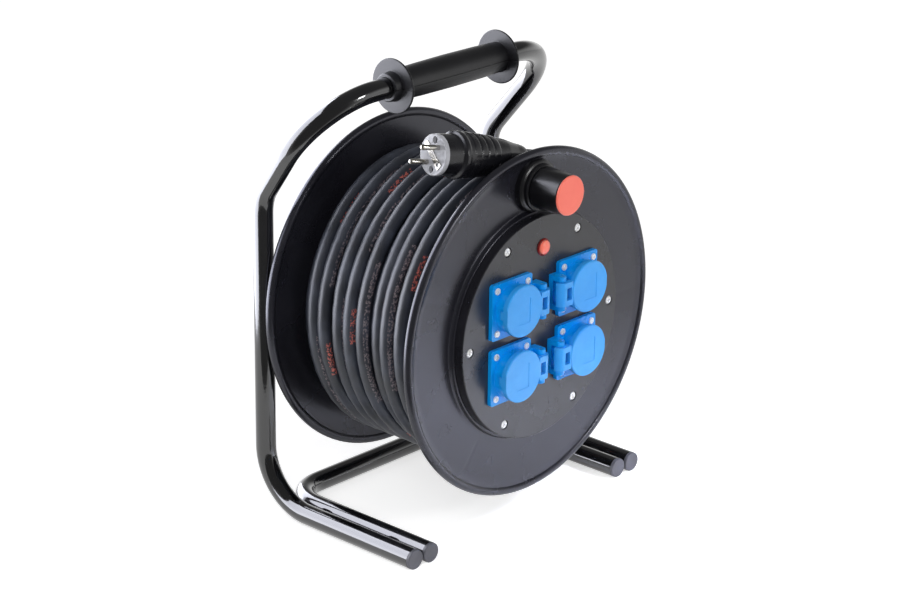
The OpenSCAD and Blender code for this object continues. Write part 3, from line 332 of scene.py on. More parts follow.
def rubber_sheath():
    """Chlorinated rubber, extruded and talc-dusted: nearly black, with a blue-grey bloom in patches
    of 26 mm, a satin shine, and a broken line of red and pale print. The talc's grain is a tenth of
    a millimetre, and is drawn 1.4 mm across so that it shows."""
    material, tree, body = finish("rubber_sheath")
    along = add(tree, "ShaderNodeAttribute", attribute_name="along").outputs["Fac"]
    side = add(tree, "ShaderNodeAttribute", attribute_name="side").outputs["Fac"]
    place = add(tree, "ShaderNodeTexCoord").outputs["Object"]

    bloom = add(tree, "ShaderNodeTexNoise",
                {"Vector": place, "Scale": to_the_metre(26.32), "Detail": 6.0})
    base = add(tree, "ShaderNodeValToRGB", {"Fac": bloom.outputs["Fac"]},
               stops=shade(["#1c1f26", "#292d37", "#3a3f4b"], 0.3, 0.75))

    # the row of print, on both flanks of the sheath, so that it shows whichever way a turn lies
    wander = add(tree, "ShaderNodeTexNoise", {"W": along, "Scale": SWINGS_TO_THE_METRE},
                 noise_dimensions="1D")
    centre = add(tree, "ShaderNodeMath", {0: wander.outputs["Fac"], 1: PRINT_SWING},
                 operation="MULTIPLY")
    offset = add(tree, "ShaderNodeMath", {0: side, 1: centre.outputs[0]}, operation="SUBTRACT")
    away = add(tree, "ShaderNodeMath", {0: offset.outputs[0]}, operation="ABSOLUTE")
    row = add(tree, "ShaderNodeMath", {0: away.outputs[0], 1: PRINT_HALF_WIDTH},
              operation="LESS_THAN")

    # its strokes, about 2.4 mm wide, which wear has broken into specks
    across = add(tree, "ShaderNodeMath", {0: side, 1: math.pi * CABLE_RADIUS / 1000},
                 operation="MULTIPLY")
    sheet = add(tree, "ShaderNodeCombineXYZ", {"X": along, "Y": across.outputs[0]})
    strokes = add(tree, "ShaderNodeTexNoise", {
        "Vector": sheet.outputs["Vector"], "Scale": STROKES_TO_THE_METRE, "Detail": 1.5})
    broken = add(tree, "ShaderNodeMath", {0: strokes.outputs["Fac"], 1: 0.5},
                 operation="GREATER_THAN")
    inked = add(tree, "ShaderNodeMath", {0: row.outputs[0], 1: broken.outputs[0]},
                operation="MULTIPLY")
    worn = add(tree, "ShaderNodeTexNoise",
               {"Vector": place, "Scale": to_the_metre(1.111), "Detail": 2.0})
    left_on = add(tree, "ShaderNodeMapRange",
                  {"Value": worn.outputs["Fac"], "From Min": 0.35, "From Max": 0.6})
    inked = add(tree, "ShaderNodeMath", {0: inked.outputs[0], 1: left_on.outputs[0]},
                operation="MULTIPLY")

    # its groups, each in its own ink
    repeat = add(tree, "ShaderNodeMath", {0: along, 1: PRINT_SPACING}, operation="DIVIDE")
    share = add(tree, "ShaderNodeMath", {0: repeat.outputs[0]}, operation="FRACT")
    colour = base.outputs["Color"]
    for start, width, ink, strength in PRINT_GROUPS:
        after = add(tree, "ShaderNodeMath", {0: share.outputs[0], 1: start},
                    operation="GREATER_THAN")
        before = add(tree, "ShaderNodeMath", {0: share.outputs[0], 1: start + width},
                     operation="LESS_THAN")
        group = add(tree, "ShaderNodeMath", {0: after.outputs[0], 1: before.outputs[0]},
                    operation="MULTIPLY")
        mark = add(tree, "ShaderNodeMath", {0: group.outputs[0], 1: inked.outputs[0]},
                   operation="MULTIPLY")
        amount = add(tree, "ShaderNodeMath", {0: mark.outputs[0], 1: strength},
                     operation="MULTIPLY")
        mix = add(tree, "ShaderNodeMix", {"Factor": amount.outputs[0], "A": colour,
                                          "B": linear(ink)}, data_type="RGBA")
        colour = mix.outputs["Result"]

    rough = add(tree, "ShaderNodeMapRange", {"Value": bloom.outputs["Fac"],
                                             "To Min": 0.36, "To Max": 0.52})
    grain = add(tree, "ShaderNodeTexNoise",
                {"Vector": place, "Scale": to_the_metre(1.4286), "Detail": 4.0})
    bump = add(tree, "ShaderNodeBump", {"Height": grain.outputs["Fac"], "Strength": 0.14,
                                        "Distance": 0.0004})
    feed(tree, body, {"Base Color": colour, "Roughness": rough.outputs["Result"], "IOR": 1.6,
                      "Normal": bump.outputs["Normal"]})
    return material


def coat(piece, material):
    """Gives a piece one material all over."""
    piece.data.materials.clear()
    piece.data.materials.append(material)
    return piece


cable_path = cable_line()
cable = tube("cable", cable_path, CABLE_RADIUS, CABLE_SIDES)
length_marks(cable, cable_path, CABLE_SIDES)
coat(cable, rubber_sheath())
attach(cable, "drum")
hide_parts("cable_layers", "cable_winding")


# ---- Tube frame ----
# Two steel tubes, 18 mm across with a 1.5 mm wall, bent cold round formers and coated in gloss
# black enamel. The long one makes the outer feet, the posts and the bow with the handle bar; the
# short one makes the inner feet and the run across the back.

TUBE_RADIUS = 9.0
POST_X = 143.5
POST_Y = 106.25
FOOT_Y = -73.15
FOOT_Z = 9.02
KNEE_Z = 288.0
BOW_X = 156.0
BAR_Y = 29.25
BAR_Z = 386.5
BASE_X = 124.1
BASE_Y = 98.25
MAIN_RADII = (52, 38, 62, 62, 38, 52)
BASE_RADII = (36, 36)
TUBE_SIDES = 48
# neither tube ever runs in this direction, so each of its rings can start square to it
NO_RUN = (0.35, 0.55, 0.76)


def rounded(corners, radii, step=3.0):
    """Line through corners with an arc of the given radius at each inner one. Each arc starts and
    ends where its circle touches the two straights. Its points are about a step apart, and those of
    the straights about four steps."""
    corners = np.asarray(corners, float)
    line = [corners[0]]
    for before, corner, after, radius in zip(corners, corners[1:], corners[2:], radii):
        u = (before - corner) / np.linalg.norm(before - corner)
        v = (after - corner) / np.linalg.norm(after - corner)
        half = math.acos(np.dot(u, v)) / 2
        start, stop = corner + u * radius / math.tan(half), corner + v * radius / math.tan(half)
        centre = corner + (u + v) / np.linalg.norm(u + v) * radius / math.sin(half)
        sweep = math.pi - 2 * half
        x = (start - centre) / radius
        y = (stop - centre) / radius - math.cos(sweep) * x
        y /= np.linalg.norm(y)
        t = np.linspace(0, sweep, max(8, int(radius * sweep / step)))[:, None]
        runs = max(2, int(np.linalg.norm(start - line[-1]) / (4 * step)))
        line += list(line[-1] + (start - line[-1]) * np.linspace(0, 1, runs + 1)[1:-1, None])
        line += list(centre + radius * (np.cos(t) * x + np.sin(t) * y))
    runs = max(2, int(np.linalg.norm(corners[-1] - line[-1]) / (4 * step)))
    line += list(line[-1] + (corners[-1] - line[-1]) * np.linspace(0, 1, runs + 1)[1:, None])
    return np.array(line)


def black_enamel():
    """Stoved gloss enamel on drawn steel tube: black with a wet shine, a faint orange peel, and
    a little dust and fine rubbing that dull it in places."""
    material, tree, body = finish("black_enamel")
    place = add(tree, "ShaderNodeTexCoord").outputs["Object"]
    dust = add(tree, "ShaderNodeTexNoise",
               {"Vector": place, "Scale": to_the_metre(62.5), "Detail": 8.0})
    colour = add(tree, "ShaderNodeValToRGB", {"Fac": dust.outputs["Fac"]},
                 stops=shade(["#050506", "#0a0a0c", "#131316"], 0.35, 0.8))
    rough = add(tree, "ShaderNodeMapRange", {"Value": dust.outputs["Fac"], "From Min": 0.4,
                                             "From Max": 0.8, "To Min": 0.1, "To Max": 0.2})
    peel = add(tree, "ShaderNodeTexNoise",
               {"Vector": place, "Scale": to_the_metre(3.846), "Detail": 2.0})
    bump = add(tree, "ShaderNodeBump", {"Height": peel.outputs["Fac"], "Strength": 0.05,
                                        "Distance": 0.001})
    feed(tree, body, {
        "Base Color": colour.outputs["Color"], "Roughness": rough.outputs["Result"], "IOR": 1.65,
        "Coat Weight": 1.0, "Coat Roughness": 0.05, "Normal": bump.outputs["Normal"]})
    return material


enamel = black_enamel()
main_corners = [
    (-POST_X, FOOT_Y, FOOT_Z), (-POST_X, POST_Y, FOOT_Z), (-POST_X, POST_Y, KNEE_Z),
    (-BOW_X, BAR_Y, BAR_Z), (BOW_X, BAR_Y, BAR_Z),
    (POST_X, POST_Y, KNEE_Z), (POST_X, POST_Y, FOOT_Z), (POST_X, FOOT_Y, FOOT_Z),
]
base_corners = [
    (-BASE_X, FOOT_Y, FOOT_Z), (-BASE_X, BASE_Y, FOOT_Z),
    (BASE_X, BASE_Y, FOOT_Z), (BASE_X, FOOT_Y, FOOT_Z),
]
for name, node, corners, radii in (
        ("long_tube", "main_tube", main_corners, MAIN_RADII),
        ("short_tube", "base_tube", base_corners, BASE_RADII)):
    piece = tube(name, rounded(corners, radii), TUBE_RADIUS, TUBE_SIDES, reference=NO_RUN)
    coat(piece, enamel)
    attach(piece, "frame")
    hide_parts(node)


# ---- Welds between the feet ----
# Two short beads on each side, laid in the groove between the tubes before enamelling. Each is a
# row of overlapping ripples.

# the face of a foot's cap, from which the welds' places are measured
FOOT_END = FOOT_Y - 3
WELD_LENGTH = 12.0
WELD_PLACES = (37.0, 118.0)
WELD_HALF_WIDTH = 4.2
WELD_HALF_HEIGHT = 3.6
WELD_LIFT = 2.0
WELD_STATIONS = 49
WELD_SIDES = 20
RIPPLE = 1.5
RIPPLE_HEIGHT = 0.06

# the bead's radius is the root of one less the sixth power of the place along it, from -1 to 1, so
# that the ends are blunt, and a cosine along it makes the ripples
t = np.linspace(-1, 1, WELD_STATIONS)
ripples = 1 + RIPPLE_HEIGHT * np.cos(t * WELD_LENGTH / RIPPLE * math.pi)
swell = np.sqrt(np.clip(1 - t ** 6, 0, 1)) * ripples
around = 2 * math.pi * np.arange(WELD_SIDES) / WELD_SIDES
for side, label in ((-1, "left"), (1, "right")):
    for place, where in zip(WELD_PLACES, ("front", "rear")):
        x = side * (POST_X + BASE_X) / 2 + WELD_HALF_WIDTH * swell[:, None] * np.cos(around)
        z = FOOT_Z + WELD_LIFT + WELD_HALF_HEIGHT * swell[:, None] * np.sin(around)
        y = np.broadcast_to(FOOT_END + place + WELD_LENGTH / 2 * t[:, None], x.shape)
        piece = surface(f"weld_{label}_{where}", np.stack([x, y, z], -1))
        coat(piece, enamel)
        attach(piece, "frame")
        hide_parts("weld_bridges")


# ---- Foot caps ----
# Plugs of grey polyethylene, pressed into the four open ends of the tubes. The head is a disc with
# a rounded rim and a face that is dished a little; the stem behind it fills the tube's bore.


def turned(name, profile, place, segments=96, closed=True):
    """Surface of revolution: a profile of radius and height in mm is carried round an axis, and
    place puts its points into the reel's frame. A closed profile's last point joins its first."""
    profile = np.asarray(profile, float)
    t = 2 * math.pi * np.arange(segments) / segments
    x = profile[:, :1] * np.cos(t)
    y = profile[:, :1] * np.sin(t)
    z = np.broadcast_to(profile[:, 1:], x.shape)
    return surface(name, place(np.stack([x, y, z], -1)), along=closed)


def arc(cx, cy, radius, start, stop, steps=8):
    """Points of an arc in a profile, from a start to a stop angle in degrees."""
    t = np.radians(np.linspace(start, stop, steps))
    return np.stack([cx + radius * np.cos(t), cy + radius * np.sin(t)], -1)


def plastic(name, colours, roughness, grain, relief, ior=1.5, smudge=0.08):
    """A moulded thermoplastic. Its colours are spread by a soft mottle about 40 mm across, and its
    roughness varies by the smudge, as handling leaves it. The grain has a size and a relief in mm.
    On the real faces it is a tenth of a millimetre or two, and it is drawn coarser to show."""
    material, tree, body = finish(name)
    place = add(tree, "ShaderNodeTexCoord").outputs["Object"]
    mottle = add(tree, "ShaderNodeTexNoise", {"Vector": place, "Scale": to_the_metre(40),
                                              "Detail": 6.0, "Roughness": 0.6})
    colour = add(tree, "ShaderNodeValToRGB", {"Fac": mottle.outputs["Fac"]},
                 stops=shade(colours, 0.32, 0.72))
    rough = add(tree, "ShaderNodeMapRange", {
        "Value": mottle.outputs["Fac"], "From Min": 0.3, "From Max": 0.7,
        "To Min": roughness - smudge / 2, "To Max": roughness + smudge / 2})
    texture = add(tree, "ShaderNodeTexNoise",
                  {"Vector": place, "Scale": to_the_metre(grain), "Detail": 3.0})
    bump = add(tree, "ShaderNodeBump", {"Height": texture.outputs["Fac"], "Strength": 0.6,
                                        "Distance": relief / 1000})
    feed(tree, body, {"Base Color": colour.outputs["Color"], "Roughness": rough.outputs["Result"],
                      "IOR": ior, "Normal": bump.outputs["Normal"]})
    return material


# waxy and nearly matt, a middle grey
cap_grey = plastic("grey_polyethylene", ["#4a4a50", "#57575e", "#62626a"],
                   roughness=0.42, grain=0.9, relief=0.05)
CAP_RADIUS = 8.8
CAP_THICK = 3.0
CAP_ROUND = 1.0
DISH_RADIUS = 5.0
DISH_DEPTH = 0.12
STEM_RADIUS = 7.3
STEM_LENGTH = 10.0
# the profile stops just short of the axis, and a tiny flat face closes it there
NEAR_AXIS = 0.01
cap_profile = np.concatenate([
    [[NEAR_AXIS, 0.0]],
    [[DISH_RADIUS, DISH_DEPTH]],
    arc(CAP_RADIUS - CAP_ROUND, CAP_ROUND, CAP_ROUND, -90, 0),
    [[CAP_RADIUS, CAP_THICK]],
    [[STEM_RADIUS, CAP_THICK]],
    [[STEM_RADIUS, CAP_THICK + STEM_LENGTH]],
    [[NEAR_AXIS, CAP_THICK + STEM_LENGTH]],
])
for node, x in (
        ("foot_cap_left_outer", -POST_X), ("foot_cap_left_inner", -BASE_X),
        ("foot_cap_right_inner", BASE_X), ("foot_cap_right_outer", POST_X)):
    piece = turned(node + "_plug", cap_profile, lambda p: np.stack(
        [x + p[..., 0], FOOT_Y - CAP_THICK + p[..., 2], FOOT_Z + p[..., 1]], -1), closed=False)
    coat(piece, cap_grey)
    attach(piece, "frame")
    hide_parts(node)


# ---- Cross tube and axle ----
# A straight tube is let in between the posts behind the drum and carries the turned axle, which
# is welded through it. Zinc-plated washers and a nut hold the drum on, inside the barrel.

# in metres: points of a solid this close are one; in degrees: facets flatter than this are one face
SAME_POINT = 2e-6
SAME_FACE = 0.4
ROUND_STEPS = 2


def dressed(node, material, edge, sharp=32):
    """Finished copy of a modelled solid, which it replaces: its doubles are merged, its flat faces
    rejoined, and its corners of more than the sharp angle in degrees given a small round of the
    edge's width in mm."""
    solid = frame["nodes"][node]
    mesh = solid.data.copy()
    mesh.name = node + "_finished"
    work = bmesh.new()
    work.from_mesh(mesh)
    bmesh.ops.remove_doubles(work, verts=work.verts, dist=SAME_POINT)
    bmesh.ops.dissolve_limit(work, angle_limit=math.radians(SAME_FACE), verts=work.verts,
                             edges=work.edges, delimit={"NORMAL"})
    work.to_mesh(mesh)
    work.free()
    if "custom_normal" in mesh.attributes:
        mesh.attributes.remove(mesh.attributes["custom_normal"])
    mesh.polygons.foreach_set("use_smooth", [True] * len(mesh.polygons))
    mesh.set_sharp_from_angle(angle=math.radians(sharp))
    piece = link(node + "_finished", mesh)
    if edge:
        bevel = piece.modifiers.new("round", "BEVEL")
        bevel.width = edge / 1000
        bevel.segments = ROUND_STEPS
        bevel.limit_method = "ANGLE"
        bevel.angle_limit = math.radians(sharp)
        bevel.harden_normals = True
    coat(piece, material)
    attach(piece, solid["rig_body"])
    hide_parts(node)
    return piece


def zinc_plate(name, colours, metallic):
    """Zinc-plated steel with a clear passivate: bright, slightly warm and cool in patches of 8 mm,
    with the drag marks of the tumbling barrel, which are drawn coarse enough to show. A thick dull
    coat looks paler and less metallic."""
    material, tree, body = finish(name)
    place = add(tree, "ShaderNodeTexCoord").outputs["Object"]
    patch = add(tree, "ShaderNodeTexNoise",
                {"Vector": place, "Scale": to_the_metre(8.333), "Detail": 5.0})
    colour = add(tree, "ShaderNodeValToRGB", {"Fac": patch.outputs["Fac"]},
                 stops=shade(colours, 0.3, 0.7))
    rough = add(tree, "ShaderNodeMapRange", {"Value": patch.outputs["Fac"],
                                             "To Min": 0.2, "To Max": 0.38})
    scratch = add(tree, "ShaderNodeTexNoise",
                  {"Vector": place, "Scale": to_the_metre(0.7143), "Detail": 2.0})
    bump = add(tree, "ShaderNodeBump", {"Height": scratch.outputs["Fac"], "Strength": 0.2,
                                        "Distance": 0.0001})
    feed(tree, body, {
        "Base Color": colour.outputs["Color"], "Metallic": metallic,
        "Roughness": rough.outputs["Result"], "Normal": bump.outputs["Normal"]})
    return material


zinc = zinc_plate("zinc_plate", ["#b4b2aa", "#c9cacb", "#bcc3cb"], 1.0)
screw_zinc = zinc_plate("screw_zinc", ["#e4e3df", "#f4f4f4", "#eceff2"], 0.45)
dressed("cross_tube", enamel, 0.2)
for node in ("axle", "rear_washer", "front_washer", "axle_nut"):
    dressed(node, zinc, 0.4)


# ---- Grip ----
# Two half shells of black polypropylene close round the bar and snap together along its sides.
# A thin guard disc stands at each end, with a short collar outside it.

PARTING_WIDTH = 0.45

# off a sparked tool: nearly black, with a soft broad shine
grip_black = plastic("black_polypropylene", ["#0e0e11", "#131316", "#1a1a1e"],
                     roughness=0.42, grain=1.2, relief=0.05)


def parting_line(material):
    """Darkens a moulded material in the narrow gap where the two half shells meet: fully within
    half the gap's width of the bar's level, and not at all beyond the whole."""
    tree = material.node_tree
    body = tree.nodes["Principled BSDF"]
    place = add(tree, "ShaderNodeTexCoord").outputs["Object"]
    level = add(tree, "ShaderNodeSeparateXYZ", {"Vector": place}).outputs["Z"]
    above = add(tree, "ShaderNodeMath", {0: level, 1: BAR_Z / 1000}, operation="SUBTRACT")
    away = add(tree, "ShaderNodeMath", {0: above.outputs[0]}, operation="ABSOLUTE")
    gap = add(tree, "ShaderNodeMapRange", {
        "Value": away.outputs[0], "From Min": 0.5 * PARTING_WIDTH / 1000,
        "From Max": PARTING_WIDTH / 1000, "To Min": 1.0, "To Max": 0.0})
    colour = body.inputs["Base Color"].links[0].from_socket
    mix = add(tree, "ShaderNodeMix", {"Factor": gap.outputs["Result"], "A": colour,
                                      "B": linear("#020202")}, data_type="RGBA")
    feed(tree, body, {"Base Color": mix.outputs["Result"]})


parting_line(grip_black)
for node in ("grip_upper", "grip_lower"):
    dressed(node, grip_black, 0.45, sharp=24)


# ---- Flanges ----
# Each flange is a disc of black polypropylene with a rolled bead round its edge. The front one
# steps up to a round boss that carries the socket panel; the rear one has the hub, and shallow
# ribs on the face towards the posts. Weld lines run out from the gates as faint radial creases.

FLANGE_RADIUS = 155.0
BEAD_RADIUS = 4.0
WEB_FRONT = -3.0
WEB_BACK = -6.0
BOSS_RISE = 1.0
BOSS_RADIUS = 102.0
BOSS_FOOT = 103.5
BOSS_BORE = 83.2
BOSS_ROUND = 1.2
FOOT_ROUND = 1.4
# how far inside the middle of the bead the web meets it, in front and behind
WEB_MEETS_FRONT = 4.6
WEB_MEETS_BACK = 3.6
FLANGE_SEGMENTS = 432
# creases: their angles, the radii between which they run and how fast they fade there, and the
# groove with the wider and shallower sink beside it
CREASES = (-68.0, -31.0, 14.0, 92.0, 148.0, 216.0)
CREASE_START = 106.0
CREASE_END = 148.0
CREASE_FADE = 12.0
CREASE_WIDTH = 1.1
CREASE_DEPTH = 0.3
SINK_WIDTH = 14.0
SINK_SHARE = 0.5


def flange_black():
    """Black polypropylene off a polished tool: charcoal where light falls flat on it, with a satin
    shine, and fine concentric scuffs from handling and from the cable. Scuffs and grain are a
    tenth of a millimetre on the real face, and are drawn 1.1 mm wide so that they show."""
    material, tree, body = finish("flange_black")
    place = add(tree, "ShaderNodeTexCoord").outputs["Object"]
    centred = add(tree, "ShaderNodeMapping",
                  {"Vector": place, "Location": (0, 0, -AXLE_HEIGHT / 1000)})
    mottle = add(tree, "ShaderNodeTexNoise",
                 {"Vector": place, "Scale": to_the_metre(71.43), "Detail": 7.0})
    colour = add(tree, "ShaderNodeValToRGB", {"Fac": mottle.outputs["Fac"]},
                 stops=shade(["#16161b", "#1b1b21", "#232329"], 0.3, 0.75))
    flat = add(tree, "ShaderNodeVectorMath", {0: centred.outputs["Vector"], 1: (1, 0, 1)},
               operation="MULTIPLY")
    radius = add(tree, "ShaderNodeVectorMath", {0: flat.outputs["Vector"]}, operation="LENGTH")
    rings = add(tree, "ShaderNodeTexNoise",
                {"W": radius.outputs["Value"], "Scale": to_the_metre(1.111), "Detail": 4.0},
                noise_dimensions="1D")
    rough = add(tree, "ShaderNodeMapRange", {"Value": mottle.outputs["Fac"], "From Min": 0.3,
                                             "From Max": 0.7, "To Min": 0.24, "To Max": 0.3})
    grain = add(tree, "ShaderNodeTexNoise",
                {"Vector": place, "Scale": to_the_metre(1.111), "Detail": 2.0})
    both = add(tree, "ShaderNodeMath", {0: rings.outputs["Fac"], 1: grain.outputs["Fac"]},
               operation="ADD")
    bump = add(tree, "ShaderNodeBump", {"Height": both.outputs[0], "Strength": 0.22,
                                        "Distance": 0.00004})
    feed(tree, body, {
        "Base Color": colour.outputs["Color"], "Roughness": rough.outputs["Result"], "IOR": 1.62,
        "Specular Tint": linear("#f1f2ff"), "Normal": bump.outputs["Normal"]})
    return material


def between(a, b, steps):
    """Evenly spaced profile points from a to b, without the last."""
    return np.linspace(a, b, steps, endpoint=False)


def creased(points):
    """Adds the creases to a turned flange. Along each crease's angle about the axle the face sinks
    by a bell curve of the distance from it, exp(-(distance / width) squared), and by a share of a
    wider one. Both fade out with a smooth step at the web's two rims."""
    angle = np.degrees(np.arctan2(points[..., 0], points[..., 1]))
    radius = np.hypot(points[..., 0], points[..., 1])
    fade = ease((radius - CREASE_START) / CREASE_FADE) * ease((CREASE_END - radius) / CREASE_FADE)
    out = points.copy()
    for crease in CREASES:
        off = np.radians((angle - crease + 180) % 360 - 180) * radius
        groove = np.exp(-(off / CREASE_WIDTH) ** 2) + SINK_SHARE * np.exp(-(off / SINK_WIDTH) ** 2)
        out[..., 2] -= CREASE_DEPTH * groove * fade
    return out


flange_plastic = flange_black()
bead_centre = FLANGE_RADIUS - BEAD_RADIUS
# out over the boss and its rounded edge, down into the round at its foot, along the web, round the
# bead and back behind the web
front_profile = np.concatenate([
    between((BOSS_BORE, BOSS_RISE), (BOSS_RADIUS - BOSS_ROUND, BOSS_RISE), 6),
    arc(BOSS_RADIUS - BOSS_ROUND, BOSS_RISE - BOSS_ROUND, BOSS_ROUND, 90, 0, 6),
    between((BOSS_RADIUS, BOSS_RISE - BOSS_ROUND), (BOSS_FOOT - 0.8, WEB_FRONT + 0.9), 2),
    arc(BOSS_FOOT + 0.6, WEB_FRONT + FOOT_ROUND, FOOT_ROUND, 200, 270, 5),
    between((BOSS_FOOT + 2, WEB_FRONT), (bead_centre - WEB_MEETS_FRONT, WEB_FRONT), 14),
    arc(bead_centre, -BEAD_RADIUS, BEAD_RADIUS, 150, -135, 34),
    between((bead_centre - WEB_MEETS_BACK, WEB_BACK), (BOSS_BORE, WEB_BACK), 12),
    [(BOSS_BORE, WEB_BACK)],
])
front = turned("front_flange_disc", front_profile, lambda p: on_drum(creased(p)),
               segments=FLANGE_SEGMENTS)
coat(front, flange_plastic)
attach(front, "drum")
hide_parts("front_flange")
dressed("rear_flange", flange_plastic, 0.5)
dressed("barrel", flange_plastic, 0.3)
dressed("hub_bush", zinc, 0.2)


# ---- Panel ----
# A round cover plate of black polyamide with a short skirt stands on the boss, over a rubber
# seal. Six cross-head screws in round recesses hold it. Such screws hold the barrel at the back too.

# off a polished tool: charcoal, with an even satin sheen that shows the lids' shadows
panel_black = plastic("black_polyamide", ["#18181d", "#1e1e23", "#26262c"],
                      roughness=0.28, grain=1.1, relief=0.02, ior=1.62, smudge=0.04)
# the inner mouldings and the seal: dull black, with little shine
inner_black = plastic("black_inner_plastic", ["#0c0c0d", "#121213", "#181819"],
                      roughness=0.5, grain=1.0, relief=0.05)
dressed("panel_cover", panel_black, 0.4)
dressed("panel_seal", inner_black, 0)
dressed("panel_screws", screw_zinc, 0.15)
dressed("rear_screws", screw_zinc, 0.15)


# ---- Sockets ----
# Each socket is one moulding of blue polyamide: a square flange, a collar round the well and
# the hinge's cheeks. Brass sleeves and earth clips sit inside, and four screws fix the flange.

# polyamide dyed through: a full clear blue with a satin shine
socket_blue = plastic("blue_polyamide", ["#0087de", "#0092e8", "#009cf0"],
                      roughness=0.28, grain=0.8, relief=0.03, ior=1.53)


def stamped_brass():
    """Brass strip, stamped and bent: warm metal with a soft shine, and tarnish in patches of 6 mm."""
    material, tree, body = finish("stamped_brass")
    place = add(tree, "ShaderNodeTexCoord").outputs["Object"]
    tone = add(tree, "ShaderNodeTexNoise",
               {"Vector": place, "Scale": to_the_metre(6.25), "Detail": 5.0})
    colour = add(tree, "ShaderNodeValToRGB", {"Fac": tone.outputs["Fac"]},
                 stops=shade(["#a9823c", "#c9a24e", "#d8b868"], 0.3, 0.7))
    feed(tree, body, {"Base Color": colour.outputs["Color"], "Metallic": 1.0, "Roughness": 0.3})
    return material


brass = stamped_brass()
for number in range(1, 5):
    dressed(f"socket_{number}", socket_blue, 0.35)
    dressed(f"contacts_{number}", brass, 0.1)
    dressed(f"hinge_pin_{number}", zinc, 0.2)
dressed("socket_screws", screw_zinc, 0.12)
dressed("lid_springs", zinc, 0)


# ---- Lids ----
# Round sprung lids in a lighter blue, each with one flat side, a window in its neck and a shallow
# step where a finger lifts it.

# the same polyamide a tone lighter, and a little smoother from being handled
lid_blue = plastic("light_blue_polyamide", ["#2f97e8", "#359dec", "#3fa4f1"],
                   roughness=0.26, grain=0.8, relief=0.03, ior=1.53, smudge=0.03)
for number in range(1, 5):
    dressed(f"lid_{number}", lid_blue, 0.4)


# ---- Thermal cut-out ----
# A small breaker behind the panel, held by a dark red bezel ring. Its domed red button springs out
# of the ring and is pressed to reset it.

# gloss moulded: a deep red whose rim catches the light
bezel_red = plastic("dark_red_polycarbonate", ["#5e100e", "#74130f", "#851a14"],
                    roughness=0.2, grain=0.7, relief=0.02)
# glossy and a little translucent, to red light most of all, so its dome looks soft
button_red = plastic("red_polycarbonate", ["#f7745f", "#fc8470", "#ff9582"],
                     roughness=0.16, grain=0.7, relief=0.02, ior=1.58)
feed(button_red.node_tree, button_red.node_tree.nodes["Principled BSDF"],
     {"Subsurface Weight": 0.25, "Subsurface Radius": (0.004, 0.001, 0.0008)})
dressed("cutout_body", inner_black, 0.3)
dressed("cutout_bezel", bezel_red, 0.25)
dressed("reset_button", button_red, 0.3)


# ---- Crank knob ----
# A glossy phenolic knob with ten soft flats turns on a steel pin. The pin is riveted through the
# flange inside a stepped collar, and a red cap closes the knob's end.

# pressed phenolic off a polished mould: deep black, with shine worn to satin by the hand
knob_gloss = plastic("black_phenolic", ["#0b0b0d", "#0f0f12", "#151519"],
                     roughness=0.3, grain=1.5, relief=0.02)
# an even, light red with a satin face
cap_red = plastic("red_cap_plastic", ["#f4705f", "#f87866", "#fc816f"],
                  roughness=0.34, grain=0.8, relief=0.03)
dressed("knob_base", knob_gloss, 0.5)
dressed("knob_pin", zinc, 0.2)
dressed("crank_knob", knob_gloss, 0.7, sharp=20)
dressed("knob_cap", cap_red, 0.3)


# ---- Inside the barrel ----
# The terminal block under the panel joins the cable's inner end to the sockets' leads, and an
# inlet ramp brings the cable out along the first layer.

# pressed melamine: an even warm cream, half matt
terminal_cream = plastic("cream_melamine", ["#cfc7b2", "#dad3c1", "#e4decf"],
                         roughness=0.4, grain=1.0, relief=0.03)
# soft extruded PVC: dark grey with a dull shine
lead_grey = plastic("grey_pvc", ["#2c2c30", "#35353a", "#3f3f45"],
                    roughness=0.45, grain=1.0, relief=0.03)
dressed("terminal_block", terminal_cream, 0.5)
dressed("socket_leads", lead_grey, 0.3)
dressed("supply_lead", lead_grey, 0)
dressed("cable_inlet", inner_black, 0.3)


# ---- Plug ----
# A rubber plug lies on the winding. Its body is moulded round the cable with a bead behind the
# face and grip ribs down the taper. The hard grey insert carries two pins and an earth strap.

FACE_THICK = 4.0
# the skin's outline: distance behind the face, and radius
PLUG_OUTLINE = (
    (4, 17.7), (19.6, 17.7), (20.4, 20.1), (21.3, 20.6), (24.7, 20.6), (25.8, 19.9), (29.7, 19.6),
    (47.5, 17.8), (57.4, 16.7), (67.3, 15.4), (73.3, 14.4), (80.2, 12.6), (86.1, 11.1),
    (92, 10), (96, 8.9), (98, 7.6), (99, 6.4),
)
RIB_PLACES = (33.7, 41.6, 49.5, 57.4)
RIB_HALF = 3.25
RIB_HEIGHT = 0.55
# the ribs' height over the sine of the angle from the mould's parting: none at first, then full
# after a short rise
PARTING = 0.1
RIB_RISE = 0.15
# stations along the skin, as start, end and count, and how many are averaged to round its corners
PLUG_RUNS = ((FACE_THICK, 30, 80), (30.3, 62, 140), (62.5, PLUG_LENGTH, 70))
AVERAGED = 5
PLUG_SIDES = 128


def at_plug(points):
    """Points in the plug's frame, in mm, to the reel's frame. Its origin is the middle of the face,
    z runs on out of it, y towards the axle, and x is square to both."""
    a = math.radians(TAIL_ANGLE)
    out = towards_plug()
    down = np.array([-math.sin(a), -math.cos(a), 0])
    side = np.cross(down, out)
    foot = np.array([math.sin(a), math.cos(a), 0]) * TAIL_RADIUS + np.array([0, 0, -PLUG_DEPTH])
    face = foot - np.array([math.cos(a), -math.sin(a), 0]) * PLUG_REACH
    return on_drum(face + points[..., :1] * side + points[..., 1:2] * down + points[..., 2:] * out)


